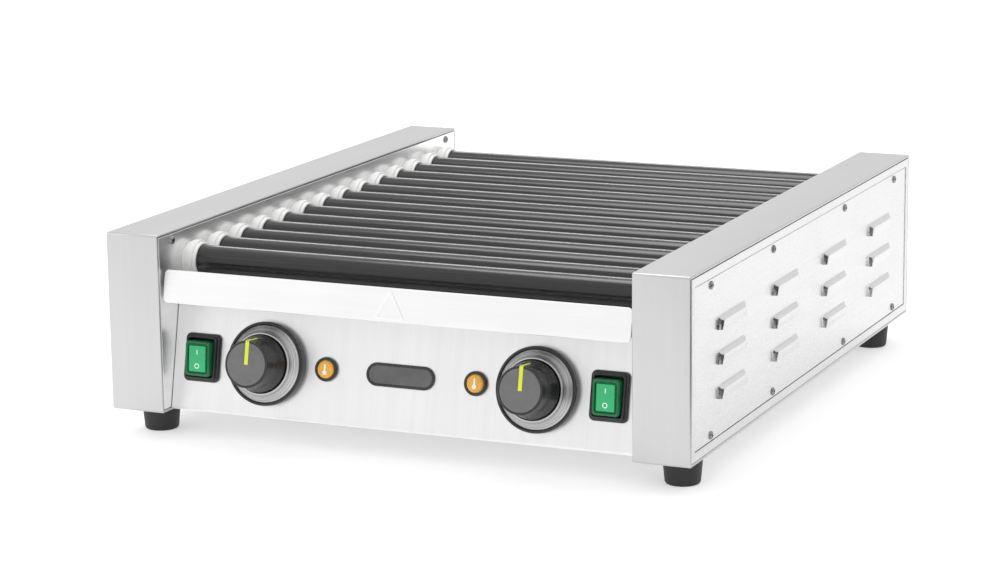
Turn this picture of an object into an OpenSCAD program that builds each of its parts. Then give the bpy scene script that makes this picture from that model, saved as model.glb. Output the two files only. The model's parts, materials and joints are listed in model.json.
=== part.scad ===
// Hot dog roller grill: fourteen heated rollers between two sheet-metal side housings,
// a leaning control panel in front, and a shallow drip tray that slides out under the rollers.
// +X is to the right, +Y goes to the back, +Z is up. The origin is on the surface it stands on,
// at the middle of the whole object's footprint.

/* [Body] */
// Width over both side housings
body_w = 512; // [480:1:560]
// Depth of the side housings
body_d = 584; // [580:1:620]
// Height of the side housings, without the feet
body_h = 150; // [146:1:180]
// Width of one side housing
housing_w = 48; // [48:1:56]
// Thickness of the sheet
sheet = 1.2; // [1:0.1:1.5]
// Width of the frame left around each side cover
frame_w = 10; // [9:0.5:14]

/* [Rollers] */
// Outside diameter of a roller
roller_d = 25.4; // [25:0.1:25.4]
// Wall thickness of a roller
roller_wall = 1.4; // [1:0.1:2]
// Distance from the housing's front to the first roller's axis
first_roller_y = 54; // [50:0.5:60]
// Height of the roller axes over the housing's bottom
roller_z = 120.5; // [118:0.5:124]
// Radial gap between a roller and its bush
running_gap = 0.05; // [0.02:0.01:0.1]

/* [Drive] */
// Pitch of both chains
chain_pitch = 6.35; // [6.3:0.05:6.35]
// Links between the driven roller and the motor shaft
links_to_motor = 12; // [11:1:13]

/* [Control panel] */
// Lean of the panel from the vertical
panel_tilt = 12; // [8:1:15]
// Distance from the housing's front to the panel's lower edge
panel_y = 14; // [12:0.5:18]
// Height of the panel's top over the housing's bottom
panel_top_z = 93; // [88:1:94]
// Distance of each knob from the middle
knob_x = 120.5; // [115:0.5:125]
// Distance of each rocker switch from the middle
switch_x = 181; // [178:0.5:184]
// Distance of each lamp from the middle
lamp_x = 66.5; // [60:0.5:70]
// Distance of all the controls from the panel's lower edge, up the slope
control_v = 43; // [42:0.5:46]
// How far the knobs stand out of the panel
knob_reach = 38.5; // [36:0.5:41]
// Angle that each rocker is tipped at rest
rocker_tip = 6; // [4:1:7]

/* [Drip tray] */
// Height of the tray's front plate
lip_h = 27; // [24:0.5:28]
// Distance from the housing's front to the lip's lower edge
lip_y = 2.5; // [1:0.5:6]

/* [Feet] */
// Height of the feet
foot_h = 24; // [20:1:30]
// Diameter at the top of a foot
foot_top_d = 33.4; // [30:0.1:36]
// Diameter at the bottom of a foot
foot_bottom_d = 28.6; // [24:0.1:30]

/* [Hidden] */

$fn = 64;
tiny = 0.01;

steel = [0.82, 0.82, 0.81];
bright_steel = [0.90, 0.90, 0.89];
dark_coating = [0.16, 0.16, 0.17];
black_plastic = [0.08, 0.08, 0.08];
white_plastic = [0.93, 0.92, 0.88];
green_plastic = [0.05, 0.55, 0.25];
amber_plastic = [0.95, 0.60, 0.15];
zinc = [0.62, 0.63, 0.65];
rubber = [0.05, 0.05, 0.05];

// Side housings, measured on the right-hand one
outer_x = body_w / 2;
inner_x = outer_x - housing_w;
cover_gap = 0.6;
cover_x = outer_x - 1.8;
lip_w = 11;
cover_screw_z = [15, body_h - 15.5];
cover_screw_y = [for (s = [-245, -96, 96, 245]) body_d / 2 + s];
cover_hole_r = 1.7;
housing_screw_y = [25, body_d - 23];
housing_screw_z = body_h - 8;

// Louvres pressed in the side covers
louvre_len = 66;
louvre_h = 11;
louvre_out = 4;
louvre_y = [for (i = [0:3]) body_d / 2 + 3 + (i - 1.5) * 132.5];
louvre_z = [for (i = [0:2]) 73.3 + (i - 1) * 27.7 - louvre_h / 2];

// Rollers
roller_n = 14;
links_per_roller = 6;
roller_r = roller_d / 2;
roller_pitch = chain_pitch * links_per_roller;
roller_left_x = -(inner_x + 8);
roller_right_x = inner_x + 16.5;
bush_bore_r = roller_r + running_gap;
bush_barrel_r = 14.6;
bush_neck_r = 14.9;
bush_ring_r = 16.5;
bush_len = 12.6;
wall_hole_r = bush_barrel_r + 0.1;
element_r = 4;
element_half = inner_x + 39;
element_bar_x = inner_x + 33;
driven_roller = 7;

// Chains and sprockets. The chains are still, so they have no rollers where teeth run through
sprocket_teeth = 16;
pitch_r = chain_pitch / 2 / sin(180 / sprocket_teeth);
tip_r = chain_pitch * (0.6 + 1 / tan(180 / sprocket_teeth)) / 2;
chain_roller_r = 1.65;
tooth_gap_r = chain_roller_r + 0.35;
tooth_w = 2.6;
chain_inner_w = tooth_w + 0.7;
chain_plate = 1;
chain_plate_half = 2.9;
rivet_proud = 0.3;
links_in_teeth = floor(sqrt(pow(tip_r + chain_roller_r + 0.3, 2) - pow(pitch_r, 2)) / chain_pitch);
roller_chain_x = inner_x + 13;
motor_chain_x = inner_x + 22;
motor_y = first_roller_y + (driven_roller - 1) * roller_pitch;
motor_z = roller_z - links_to_motor * chain_pitch;
motor_shaft_r = 5;
motor_bracket_t = 2;
gearbox = [34, 72, 60];
motor_can_r = 29;
motor_can_len = 55;

// Control panel
panel_z = 3;
panel_len = (panel_top_z - panel_z) / cos(panel_tilt);
panel_half_w = inner_x - 0.4;
panel_flange = 12;
bezel_r = 34.5;
bezel_h = 7;
dial_outer_r = 32;
dial_inner_r = 24.2;
dial_top = 14;
knob_base_r = 23.3;
knob_waist_r = 20.6;
knob_rim_r = 19.3;
knob_face_r = 18.2;
knob_start = 3;
knob_skirt_h = 13;
spindle_r = 3;
spindle_back = -22;
thermostat = [38, 34, 28];
switch_frame = [32.4, 40, 3];
switch_collar = [28, 35, 6];
rocker_size = [23, 29, 11];
rocker_pivot = 2;
pivot_r = 1.5;
pivot_half_w = 13.2;
lamp_r = 10;
lens_r = 7.6;
lens_top = 4.4;
badge_w = 60.6;
badge_h = 19.1;

// Drip tray
rail_z = 92;
rail_w = 14;
tray_z = 94.4;
tray_half_w = 200;
tray_wall_top = 101.4;
tray_front_y = 24;
tray_back_y = 560;
tray_sheet = 1;
lip_half_w = inner_x - 2;
lip_corner = 4;
triangle_w = 28;
triangle_h = 24.5;
emboss = 0.5;

// Rear panel and base
rear_y = body_d - 12;
rear_top_z = 112;
rear_flange = 5;
rail_front_y = panel_y + panel_len * sin(panel_tilt) + panel_flange + 1.4;
rail_back_y = rear_y - 6;
gland_x = -150;
gland_z = 30;
gland_bore_r = 4.5;

// Feet
foot_x = outer_x - 22;
foot_y = [42, body_d - 42];

// The knobs reach in front of the housings, so the footprint's middle lies in front of theirs
knob_front_y = panel_y + (control_v - knob_face_r) * sin(panel_tilt) - knob_reach * cos(panel_tilt);
mid_y = (knob_front_y + body_d) / 2;

// Puts a shape drawn from the housings' lower front edge into the part's own frame
module placed() {
    translate([0, -mid_y, foot_h]) children();
}

module on_both_sides() {
    children();
    mirror([1, 0, 0]) children();
}

// Turns a shape that stands on XY so that it points along +X from x
module along_x(x, y, z) {
    translate([x, y, z]) rotate([0, 90, 0]) children();
}

// Turns a shape that stands on XY so that it points out of the control panel
module on_panel(x, v) {
    translate([x, panel_y, panel_z]) rotate([90 - panel_tilt, 0, 0]) translate([0, v, 0]) children();
}

module box_between(low, high) {
    translate(low) cube(high - low);
}

module rounded_plate(w, h, r) {
    square([w - 2 * r, h], center = true);
    square([w, h - 2 * r], center = true);
    for (x = [-1, 1], y = [-1, 1])
        translate([x * (w / 2 - r), y * (h / 2 - r)]) circle(r = r);
}

module pan_head(r, h) {
    difference() {
        union() {
            cylinder(r = r, h = h * 0.55);
            translate([0, 0, h * 0.55]) cylinder(r1 = r, r2 = r * 0.62, h = h * 0.45);
        }
        translate([0, 0, h]) cube([r * 1.1, r * 0.28, h * 0.9], center = true);
        translate([0, 0, h]) cube([r * 0.28, r * 1.1, h * 0.9], center = true);
    }
}

module pan_screw(head_r, head_h, shank_r, shank_len) {
    pan_head(head_r, head_h);
    translate([0, 0, -shank_len]) cylinder(r = shank_r, h = shank_len + tiny);
}

// ---- Side housings ----

module cover_opening(low_x, high_x, inset) {
    box_between(
        [low_x, frame_w + inset, frame_w + inset],
        [high_x, body_d - frame_w - inset, body_h - frame_w - inset]
    );
}

module roller_holes(low_x, len, r) {
    for (i = [0:roller_n - 1])
        along_x(low_x, first_roller_y + i * roller_pitch, roller_z) cylinder(r = r, h = len);
}

module cover_screw_places(x) {
    for (y = cover_screw_y, z = cover_screw_z)
        along_x(x, y, z) children();
}

module housing() {
    color(steel) placed() difference() {
        union() {
            difference() {
                box_between([inner_x, 0, 0], [outer_x, body_d, body_h]);
                box_between(
                    [inner_x + sheet, sheet, sheet],
                    [outer_x - sheet, body_d - sheet, body_h - sheet]
                );
            }
            cover_opening(cover_x - sheet, outer_x, -sheet);
        }
        cover_opening(cover_x, outer_x + 1, 0);
        cover_opening(inner_x + 2 * sheet, outer_x, lip_w);
        cover_screw_places(inner_x + 2 * sheet) cylinder(r = cover_hole_r, h = housing_w);
        roller_holes(inner_x - 1, sheet + 2, wall_hole_r);
        for (y = housing_screw_y)
            along_x(inner_x - 1, y, housing_screw_z) cylinder(r = 2.1, h = sheet + 2);
        for (y = foot_y)
            translate([foot_x, y, -1]) cylinder(r = 2.7, h = sheet + 2);
        along_x(inner_x - 1, motor_y, motor_z) cylinder(r = 8, h = sheet + 2);
    }
}

module left_housing() {
    mirror([1, 0, 0]) housing();
}

module right_housing() {
    housing();
}

// One louvre, drawn at the cover's outer face with its open side down
module louvre_hood() {
    hood = [
        [-tiny, louvre_h], [louvre_out * 0.45, louvre_h - 1.2], [louvre_out * 0.8, louvre_h * 0.55],
        [louvre_out, louvre_h * 0.15], [louvre_out, 0], [louvre_out - 1, 0],
        [louvre_out - 1, louvre_h * 0.15], [louvre_out * 0.6, louvre_h * 0.5], [-tiny, louvre_h - 2.6]
    ];
    cheek = [
        [-tiny, louvre_h], [louvre_out * 0.45, louvre_h - 1.2], [louvre_out * 0.8, louvre_h * 0.55],
        [louvre_out, louvre_h * 0.15], [louvre_out, 0], [-tiny, 0]
    ];
    rotate([90, 0, 0]) {
        translate([0, 0, -louvre_len / 2]) linear_extrude(louvre_len) polygon(hood);
        for (z = [-louvre_len / 2, louvre_len / 2 - 1])
            translate([0, 0, z]) linear_extrude(1) polygon(cheek);
    }
}

module side_cover() {
    color(bright_steel) placed() {
        difference() {
            cover_opening(cover_x, cover_x + sheet, cover_gap);
            cover_screw_places(cover_x - 1) cylinder(r = cover_hole_r, h = sheet + 2);
            for (y = louvre_y, z = louvre_z)
                translate([cover_x - 1, y - louvre_len / 2 + 1, z])
                    cube([sheet + 2, louvre_len - 2, louvre_h - 3]);
        }
        for (y = louvre_y, z = louvre_z)
            translate([cover_x + sheet, y, z]) louvre_hood();
    }
}

module left_side_cover() {
    mirror([1, 0, 0]) side_cover();
}

module right_side_cover() {
    side_cover();
}

module cover_screws() {
    color(zinc) placed() on_both_sides()
        cover_screw_places(cover_x + sheet) pan_screw(3.4, 1.7, 1.5, 7);
}

module housing_screws() {
    color(zinc) placed() on_both_sides()
        for (y = housing_screw_y)
            translate([inner_x, y, housing_screw_z]) rotate([0, -90, 0]) pan_screw(3.6, 1.9, 1.9, 8);
}

// ---- Panels between the housings ----

module front_panel() {
    color(steel) placed() {
        difference() {
            on_panel(0, 0) translate([-panel_half_w, 0, -sheet])
                cube([2 * panel_half_w, panel_len, sheet]);
            for (x = [-knob_x, knob_x])
                on_panel(x, control_v) translate([0, 0, -sheet - 1]) cylinder(r = 5, h = sheet + 2);
            for (x = [-lamp_x, lamp_x])
                on_panel(x, control_v) translate([0, 0, -sheet - 1]) cylinder(r = 8.1, h = sheet + 2);
            for (x = [-switch_x, switch_x])
                on_panel(x, control_v) cube([27.4, 33.4, 4 * sheet], center = true);
        }
        box_between(
            [-panel_half_w, panel_y, panel_z - 1.5],
            [panel_half_w, panel_y + panel_flange, panel_z - 1.5 + sheet + 0.5]
        );
        translate([0, panel_len * sin(panel_tilt), 0]) box_between(
            [-panel_half_w, panel_y - 0.6, panel_top_z - sheet],
            [panel_half_w, panel_y + panel_flange, panel_top_z]
        );
    }
}

module rear_panel() {
    slot = [40, 10, 4];
    color(steel) placed() {
        difference() {
            box_between([-panel_half_w, rear_y, sheet], [panel_half_w, rear_y + sheet, rear_top_z]);
            for (i = [0:4], z = [60, 72, 84])
                translate([(i - 2) * 62, rear_y, z]) cube(slot, center = true);
            translate([gland_x, rear_y - 1, gland_z]) rotate([-90, 0, 0]) cylinder(r = 8.1, h = 4);
        }
        box_between(
            [-panel_half_w, rear_y - rear_flange, rear_top_z - sheet],
            [panel_half_w, rear_y + tiny, rear_top_z]
        );
    }
}

module base_plate() {
    front = panel_y + panel_flange + 1;
    color(steel) placed() {
        difference() {
            box_between([-panel_half_w, front, 0], [panel_half_w, rear_y + sheet, sheet]);
            for (x = [-140, -70, 0, 70, 140], y = [110, 190, 400, 480])
                translate([x, y, 0]) cube([50, 8, 4 * sheet], center = true);
        }
        box_between([-panel_half_w, front, 0], [panel_half_w, front + sheet, 10]);
    }
}

module tray_rail() {
    color(steel) placed() {
        box_between(
            [inner_x - rail_w, rail_front_y, rail_z],
            [inner_x, rail_back_y, rail_z + sheet]
        );
        box_between(
            [inner_x - sheet, rail_front_y, rail_z - 14],
            [inner_x, rail_back_y, rail_z + tiny]
        );
    }
}

module left_tray_rail() {
    mirror([1, 0, 0]) tray_rail();
}

module right_tray_rail() {
    tray_rail();
}

module drip_tray() {
    color(bright_steel) placed() difference() {
        box_between(
            [-tray_half_w, tray_front_y, tray_z],
            [tray_half_w, tray_back_y, tray_wall_top]
        );
        box_between(
            [-tray_half_w + tray_sheet, tray_front_y + tray_sheet, tray_z + tray_sheet],
            [tray_half_w - tray_sheet, tray_back_y - tray_sheet, tray_wall_top + 1]
        );
    }
}

// The tray's front plate, which covers the gap under the first roller and is pulled by hand
module tray_front() {
    color(bright_steel) placed() {
        box_between([-tray_half_w, lip_y, tray_z], [tray_half_w, tray_front_y, tray_z + sheet]);
        translate([0, lip_y, tray_z]) rotate([90 - panel_tilt, 0, 0]) translate([0, lip_h / 2, 0]) {
            translate([0, 0, -sheet]) linear_extrude(sheet)
                rounded_plate(2 * lip_half_w, lip_h, lip_corner);
            translate([0, -triangle_h / 2 + 0.3, -tiny]) linear_extrude(emboss) difference() {
                polygon([[-triangle_w / 2, 0], [triangle_w / 2, 0], [0, triangle_h]]);
                translate([0, 2]) polygon([
                    [-triangle_w / 2 + 3.6, 0], [triangle_w / 2 - 3.6, 0], [0, triangle_h - 6.2]
                ]);
            }
        }
    }
}

// ---- Rollers, their bushes and their drive ----

// A bush with a ring around it, drawn along +Z from the wall's visible face
module bush() {
    difference() {
        union() {
            translate([0, 0, -4]) cylinder(r = bush_barrel_r, h = 4 + tiny);
            cylinder(r = bush_neck_r, h = bush_len);
            translate([0, 0, bush_len - 8.6]) cylinder(r = bush_ring_r, h = 5.6);
        }
        translate([0, 0, -5]) cylinder(r = bush_bore_r, h = bush_len + 6);
    }
}

module bush_row() {
    color(white_plastic) placed()
        for (i = [0:roller_n - 1])
            translate([inner_x, first_roller_y + i * roller_pitch, roller_z])
                rotate([0, -90, 0]) bush();
}

module left_bushes() {
    mirror([1, 0, 0]) bush_row();
}

module right_bushes() {
    bush_row();
}

// A sprocket along +Z, centred on its own plane, with a gap between teeth straight up
module sprocket(bore_r) {
    linear_extrude(tooth_w, center = true) difference() {
        circle(r = tip_r);
        circle(r = bore_r);
        for (i = [0:sprocket_teeth - 1])
            rotate(i * 360 / sprocket_teeth) translate([pitch_r, 0]) circle(r = tooth_gap_r);
    }
}

// A heated roller: a coated tube with its sprocket welded on at the drive end
module roller(i) {
    right_x = i == driven_roller ? motor_chain_x + tooth_w / 2 + 1 : roller_right_x;
    color(dark_coating) placed()
        translate([0, first_roller_y + (i - 1) * roller_pitch, roller_z]) rotate([0, 90, 0]) {
            translate([0, 0, roller_left_x]) difference() {
                cylinder(r = roller_r, h = right_x - roller_left_x);
                translate([0, 0, -1])
                    cylinder(r = roller_r - roller_wall, h = right_x - roller_left_x + 2);
            }
            translate([0, 0, roller_chain_x]) sprocket(roller_r - 0.5);
            if (i == driven_roller)
                translate([0, 0, motor_chain_x]) sprocket(roller_r - 0.5);
        }
}

// The outline of a chain around two sprockets, in the plane of the chain
module chain_outline(r, length) {
    for (y = [0, length])
        translate([0, y]) circle(r = r);
    translate([-r, 0]) square([2 * r, length]);
}

// A chain loop from one sprocket to another `links` further along +Y, drawn about z = 0, which
// also passes a sprocket at every `step` links
module chain_loop(links, step) {
    length = links * chain_pitch;
    for (z = [-chain_inner_w / 2 - chain_plate, chain_inner_w / 2])
        translate([0, 0, z]) linear_extrude(chain_plate) difference() {
            chain_outline(pitch_r + chain_plate_half, length);
            chain_outline(pitch_r - chain_plate_half, length);
        }
    for (side = [-1, 1], start = [0:step:links - step], i = [links_in_teeth + 1:step - links_in_teeth - 1])
        translate([side * pitch_r, (start + i) * chain_pitch, 0]) chain_rivet();
}

module chain_rivet() {
    rivet_len = chain_inner_w + 2 * chain_plate + 2 * rivet_proud;
    cylinder(r = chain_roller_r, h = rivet_len, center = true, $fn = 24);
}

module roller_chain() {
    color(zinc) placed()
        along_x(roller_chain_x, first_roller_y, roller_z)
            chain_loop((roller_n - 1) * links_per_roller, links_per_roller);
}

module motor_chain() {
    color(zinc) placed()
        along_x(motor_chain_x, motor_y, roller_z) rotate(-90)
            chain_loop(links_to_motor, links_to_motor);
}

module motor_sprocket() {
    color(zinc) placed() along_x(motor_chain_x, motor_y, motor_z) {
        sprocket(motor_shaft_r + 0.02);
        translate([0, 0, -tooth_w / 2 - 5]) difference() {
            cylinder(r = 9, h = 5 + tiny);
            translate([0, 0, -1]) cylinder(r = motor_shaft_r + 0.02, h = 7);
        }
    }
}

module motor_shaft() {
    shaft_start = inner_x - motor_bracket_t - gearbox[0] + 4;
    color(bright_steel) placed() along_x(shaft_start, motor_y, motor_z)
        cylinder(r = motor_shaft_r, h = motor_chain_x + 5 - shaft_start);
}

module gear_motor() {
    box_x = inner_x - motor_bracket_t - gearbox[0];
    color(zinc) placed() difference() {
        union() {
            translate([box_x, motor_y - gearbox[1] / 2, motor_z - gearbox[2] / 2]) cube(gearbox);
            along_x(box_x - motor_can_len, motor_y, motor_z)
                cylinder(r = motor_can_r, h = motor_can_len + tiny);
        }
        along_x(box_x + 3, motor_y, motor_z)
            cylinder(r = motor_shaft_r + running_gap, h = gearbox[0]);
    }
}

module motor_bracket() {
    bracket_w = gearbox[1] + 24;
    color(steel) placed() difference() {
        box_between(
            [inner_x - motor_bracket_t, motor_y - bracket_w / 2, motor_z - 34],
            [inner_x, motor_y + bracket_w / 2, motor_z + 32]
        );
        along_x(inner_x - motor_bracket_t - 1, motor_y, motor_z)
            cylinder(r = 8, h = motor_bracket_t + 2);
    }
}

// ---- Heating ----

module heating_element() {
    along_x(-element_half + 8, 0, 0) cylinder(r = element_r, h = 2 * element_half - 16);
    along_x(-element_half, 0, 0) cylinder(r = 1.6, h = 2 * element_half);
}

module heating_elements(first, last) {
    color(bright_steel) placed()
        for (i = [first:last])
            translate([0, first_roller_y + (i - 1) * roller_pitch, roller_z]) heating_element();
}

module front_heating_elements() {
    heating_elements(1, driven_roller);
}

module rear_heating_elements() {
    heating_elements(driven_roller + 1, roller_n);
}

// An angle under the housing's top that carries the ends of all the elements
module element_bar() {
    color(zinc) placed() difference() {
        union() {
            box_between([element_bar_x, 30, roller_z - 9], [element_bar_x + 1.5, rear_y, body_h - sheet]);
            box_between(
                [element_bar_x - 12, 30, body_h - sheet - 1.5],
                [element_bar_x + tiny, rear_y, body_h - sheet]
            );
        }
        roller_holes(element_bar_x - 1, 4, element_r + 0.1);
    }
}

module left_element_bar() {
    mirror([1, 0, 0]) element_bar();
}

module right_element_bar() {
    element_bar();
}

// ---- Controls ----

module thermostat_body(x) {
    color(zinc) placed() on_panel(x, control_v) difference() {
        union() {
            translate([0, 0, -sheet - thermostat[2] / 2]) cube(thermostat, center = true);
            translate([0, 0, -sheet - thermostat[2] - 6]) cylinder(r = 12, h = 6 + tiny);
        }
        translate([0, 0, spindle_back - 1]) cylinder(r = spindle_r + running_gap, h = 40);
    }
}

module left_thermostat() {
    thermostat_body(-knob_x);
}

module right_thermostat() {
    thermostat_body(knob_x);
}

module spindle(x) {
    color(bright_steel) placed() on_panel(x, control_v)
        translate([0, 0, spindle_back]) cylinder(r = spindle_r, h = 18 - spindle_back);
}

module left_spindle() {
    spindle(-knob_x);
}

module right_spindle() {
    spindle(knob_x);
}

module knob(x) {
    bore_r = spindle_r + 0.02;
    bore_top = 18;
    color(black_plastic) placed() on_panel(x, control_v) rotate_extrude() polygon([
        [bore_r, knob_start], [knob_base_r, knob_start], [knob_base_r, knob_start + knob_skirt_h],
        [knob_waist_r, knob_start + knob_skirt_h + 8], [knob_rim_r, knob_reach - 1.2],
        [knob_face_r, knob_reach], [0, knob_reach], [0, bore_top], [bore_r, bore_top]
    ]);
}

module left_knob() {
    knob(-knob_x);
}

module right_knob() {
    knob(knob_x);
}

module knob_bezel(x) {
    hole_r = 6;
    color(black_plastic) placed() on_panel(x, control_v) rotate_extrude() polygon([
        [hole_r, 0], [bezel_r, 0], [bezel_r, bezel_h - 2], [bezel_r - 1.2, bezel_h],
        [dial_outer_r + 0.2, bezel_h], [dial_outer_r + 0.2, 2], [hole_r, 2]
    ]);
}

module left_knob_bezel() {
    knob_bezel(-knob_x);
}

module right_knob_bezel() {
    knob_bezel(knob_x);
}

// The spun ring around the knob: a hollow cone that rises towards the knob in two steps
module dial_ring(x) {
    color(bright_steel) placed() on_panel(x, control_v) rotate_extrude() polygon([
        [dial_inner_r, 2], [dial_outer_r, 2], [dial_outer_r, bezel_h - 0.6],
        [dial_outer_r - 0.8, bezel_h], [dial_inner_r + 2.2, dial_top - 1.6],
        [dial_inner_r + 2.2, dial_top - 1], [dial_inner_r + 1, dial_top], [dial_inner_r, dial_top]
    ]);
}

module left_dial_ring() {
    dial_ring(-knob_x);
}

module right_dial_ring() {
    dial_ring(knob_x);
}

// A pin along X at the height of the rocker's pivot
module pivot_pin(r, half_w) {
    translate([-half_w, 0, rocker_pivot]) rotate([0, 90, 0]) cylinder(r = r, h = 2 * half_w);
}

// The switch's frame and body, with a well in which the rocker tips
module switch_body(x) {
    well = [rocker_size[0] + 1.2, rocker_size[1] + 2.6];
    color(black_plastic) placed() on_panel(x, control_v) difference() {
        union() {
            linear_extrude(switch_frame[2]) rounded_plate(switch_frame[0], switch_frame[1], 4);
            linear_extrude(switch_collar[2]) rounded_plate(switch_collar[0], switch_collar[1], 3);
            translate([0, 0, -12]) cube([27, 33, 24.5], center = true);
        }
        translate([-well[0] / 2, -well[1] / 2, -8]) cube([well[0], well[1], 20]);
        pivot_pin(pivot_r + running_gap, pivot_half_w + 0.2);
    }
}

module left_switch_body() {
    switch_body(-switch_x);
}

module right_switch_body() {
    switch_body(switch_x);
}

// The rocker tips about its pivot pin, and at rest its lower half is pressed in
module rocker(x) {
    color(green_plastic) placed() on_panel(x, control_v) {
        translate([0, 0, rocker_pivot]) rotate([rocker_tip, 0, 0])
            translate([-rocker_size[0] / 2, -rocker_size[1] / 2, -2])
                cube([rocker_size[0], rocker_size[1], rocker_size[2]]);
        pivot_pin(pivot_r, pivot_half_w);
    }
}

module left_rocker() {
    rocker(-switch_x);
}

module right_rocker() {
    rocker(switch_x);
}

module lamp_bodies() {
    color(black_plastic) placed()
        for (x = [-lamp_x, lamp_x])
            on_panel(x, control_v) rotate_extrude() polygon([
                [0, -22], [8, -22], [8, 0], [lamp_r, 0], [lamp_r, 1.6], [lamp_r - 1.2, 3],
                [lens_r + 0.05, 3], [lens_r + 0.05, -6], [0, -6]
            ]);
}

module lamp_lenses() {
    color(amber_plastic) placed()
        for (x = [-lamp_x, lamp_x])
            on_panel(x, control_v) rotate_extrude() polygon([
                [0, -6], [lens_r, -6], [lens_r, 3], [lens_r - 2, lens_top], [0, lens_top]
            ]);
}

module pill(w, h) {
    square([w - h, h], center = true);
    for (s = [-1, 1])
        translate([s * (w - h) / 2, 0]) circle(r = h / 2);
}

module badge() {
    color(black_plastic) placed() on_panel(0, control_v) difference() {
        linear_extrude(2) pill(badge_w, badge_h);
        translate([0, 0, 1.2]) linear_extrude(2) pill(badge_w - 5, badge_h - 5);
    }
}

// ---- Feet, terminals and cord inlet ----

module feet() {
    color(rubber) placed() on_both_sides()
        for (y = foot_y)
            translate([foot_x, y, -foot_h]) difference() {
                union() {
                    cylinder(r1 = foot_bottom_d / 2 - 1.2, r2 = foot_bottom_d / 2, h = 1.5);
                    translate([0, 0, 1.5 - tiny])
                        cylinder(r1 = foot_bottom_d / 2, r2 = foot_top_d / 2, h = foot_h - 1.5 + tiny);
                }
                translate([0, 0, -1]) cylinder(r = 6.2, h = foot_h - 5);
                translate([0, 0, -1]) cylinder(r = 2.6, h = foot_h + 2);
            }
}

module foot_screws() {
    color(zinc) placed() on_both_sides()
        for (y = foot_y)
            translate([foot_x, y, -6]) rotate([180, 0, 0]) pan_screw(5, 3, 2.5, 14);
}

module terminal_block() {
    color(white_plastic) placed() translate([gland_x, rear_y - 60, sheet]) difference() {
        translate([-30, -10, 0]) cube([60, 20, 18]);
        for (x = [-24, -12, 0, 12, 24])
            translate([x, 0, 8]) cylinder(r = 2.5, h = 12);
        for (x = [-18, -6, 6, 18])
            translate([x - 1, -11, 12]) cube([2, 22, 8]);
    }
}

module cable_gland() {
    color(black_plastic) placed() translate([gland_x, rear_y, gland_z]) rotate([-90, 0, 0]) difference() {
        union() {
            translate([0, 0, -9]) cylinder(r = 8, h = 20);
            translate([0, 0, sheet]) cylinder(r = 11, h = 4, $fn = 6);
            translate([0, 0, -4]) cylinder(r = 11, h = 4, $fn = 6);
        }
        translate([0, 0, -10]) cylinder(r = gland_bore_r, h = 22);
    }
}

left_housing();
right_housing();
left_side_cover();
right_side_cover();
cover_screws();
housing_screws();
front_panel();
rear_panel();
base_plate();
left_tray_rail();
right_tray_rail();
drip_tray();
tray_front();
left_bushes();
right_bushes();
roller(1);  // roller_01
roller(2);  // roller_02
roller(3);  // roller_03
roller(4);  // roller_04
roller(5);  // roller_05
roller(6);  // roller_06
roller(7);  // roller_07
roller(8);  // roller_08
roller(9);  // roller_09
roller(10);  // roller_10
roller(11);  // roller_11
roller(12);  // roller_12
roller(13);  // roller_13
roller(14);  // roller_14
front_heating_elements();
rear_heating_elements();
left_element_bar();
right_element_bar();
roller_chain();
motor_chain();
motor_sprocket();
motor_shaft();
gear_motor();
motor_bracket();
left_thermostat();
right_thermostat();
left_spindle();
right_spindle();
left_knob();
right_knob();
left_knob_bezel();
right_knob_bezel();
left_dial_ring();
right_dial_ring();
left_switch_body();
right_switch_body();
left_rocker();
right_rocker();
lamp_bodies();
lamp_lenses();
badge();
feet();
foot_screws();
terminal_block();
cable_gland();
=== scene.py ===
"""Looks for a hot dog roller grill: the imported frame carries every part, and the operators below
give each part its finished shape and surface. Lengths are metres, in the frame's own axes:
+X to the right, +Y to the back, +Z up."""

import json
import math

import bmesh
import bpy
from bpy.props import FloatProperty, FloatVectorProperty, IntProperty, PointerProperty
from mathutils import Matrix, Vector
from mathutils.geometry import tessellate_polygon


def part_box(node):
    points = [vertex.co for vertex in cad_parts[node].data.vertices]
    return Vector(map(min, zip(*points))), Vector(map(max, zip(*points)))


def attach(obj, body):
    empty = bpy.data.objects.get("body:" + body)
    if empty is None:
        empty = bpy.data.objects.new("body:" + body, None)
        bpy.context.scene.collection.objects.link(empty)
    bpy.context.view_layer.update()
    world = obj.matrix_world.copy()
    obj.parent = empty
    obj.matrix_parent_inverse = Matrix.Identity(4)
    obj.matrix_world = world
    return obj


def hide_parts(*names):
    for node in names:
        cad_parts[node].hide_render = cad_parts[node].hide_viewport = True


bl_info = {
    "name": "Roller Grill Looks",
    "version": (1, 0, 0),
    "blender": (4, 5, 0),
    "location": "3D View > Sidebar > Roller Grill",
    "description": "Finished sheet metal, rollers, controls and feet of a hot dog roller grill",
    "category": "Object",
}

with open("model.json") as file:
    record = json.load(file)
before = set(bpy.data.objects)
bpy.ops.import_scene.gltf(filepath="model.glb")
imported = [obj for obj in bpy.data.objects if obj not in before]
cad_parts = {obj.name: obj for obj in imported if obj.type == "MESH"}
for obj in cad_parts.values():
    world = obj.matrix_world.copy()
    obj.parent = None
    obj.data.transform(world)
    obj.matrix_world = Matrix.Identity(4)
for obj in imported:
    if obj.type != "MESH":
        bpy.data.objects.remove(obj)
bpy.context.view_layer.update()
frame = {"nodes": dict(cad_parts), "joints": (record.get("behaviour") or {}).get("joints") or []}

MM = 0.001

# In millimetres: how far a knob's face stands off the panel, and the radii of a lamp's rim and a foot
KNOB_TOP = 38.5
LAMP_R = 10.0
FOOT_R = 16.7

SIDES = ("left", "right")
ROLLERS = [name for name in frame["nodes"] if name.startswith("roller_") and name[-1].isdigit()]
HOUSING_LOW, HOUSING_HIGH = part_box("right_housing")
COVER_LOW, COVER_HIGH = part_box("right_side_cover")
KNOB_TURN = next(j for j in frame["joints"] if j["name"] == "left_knob_turn")

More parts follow.
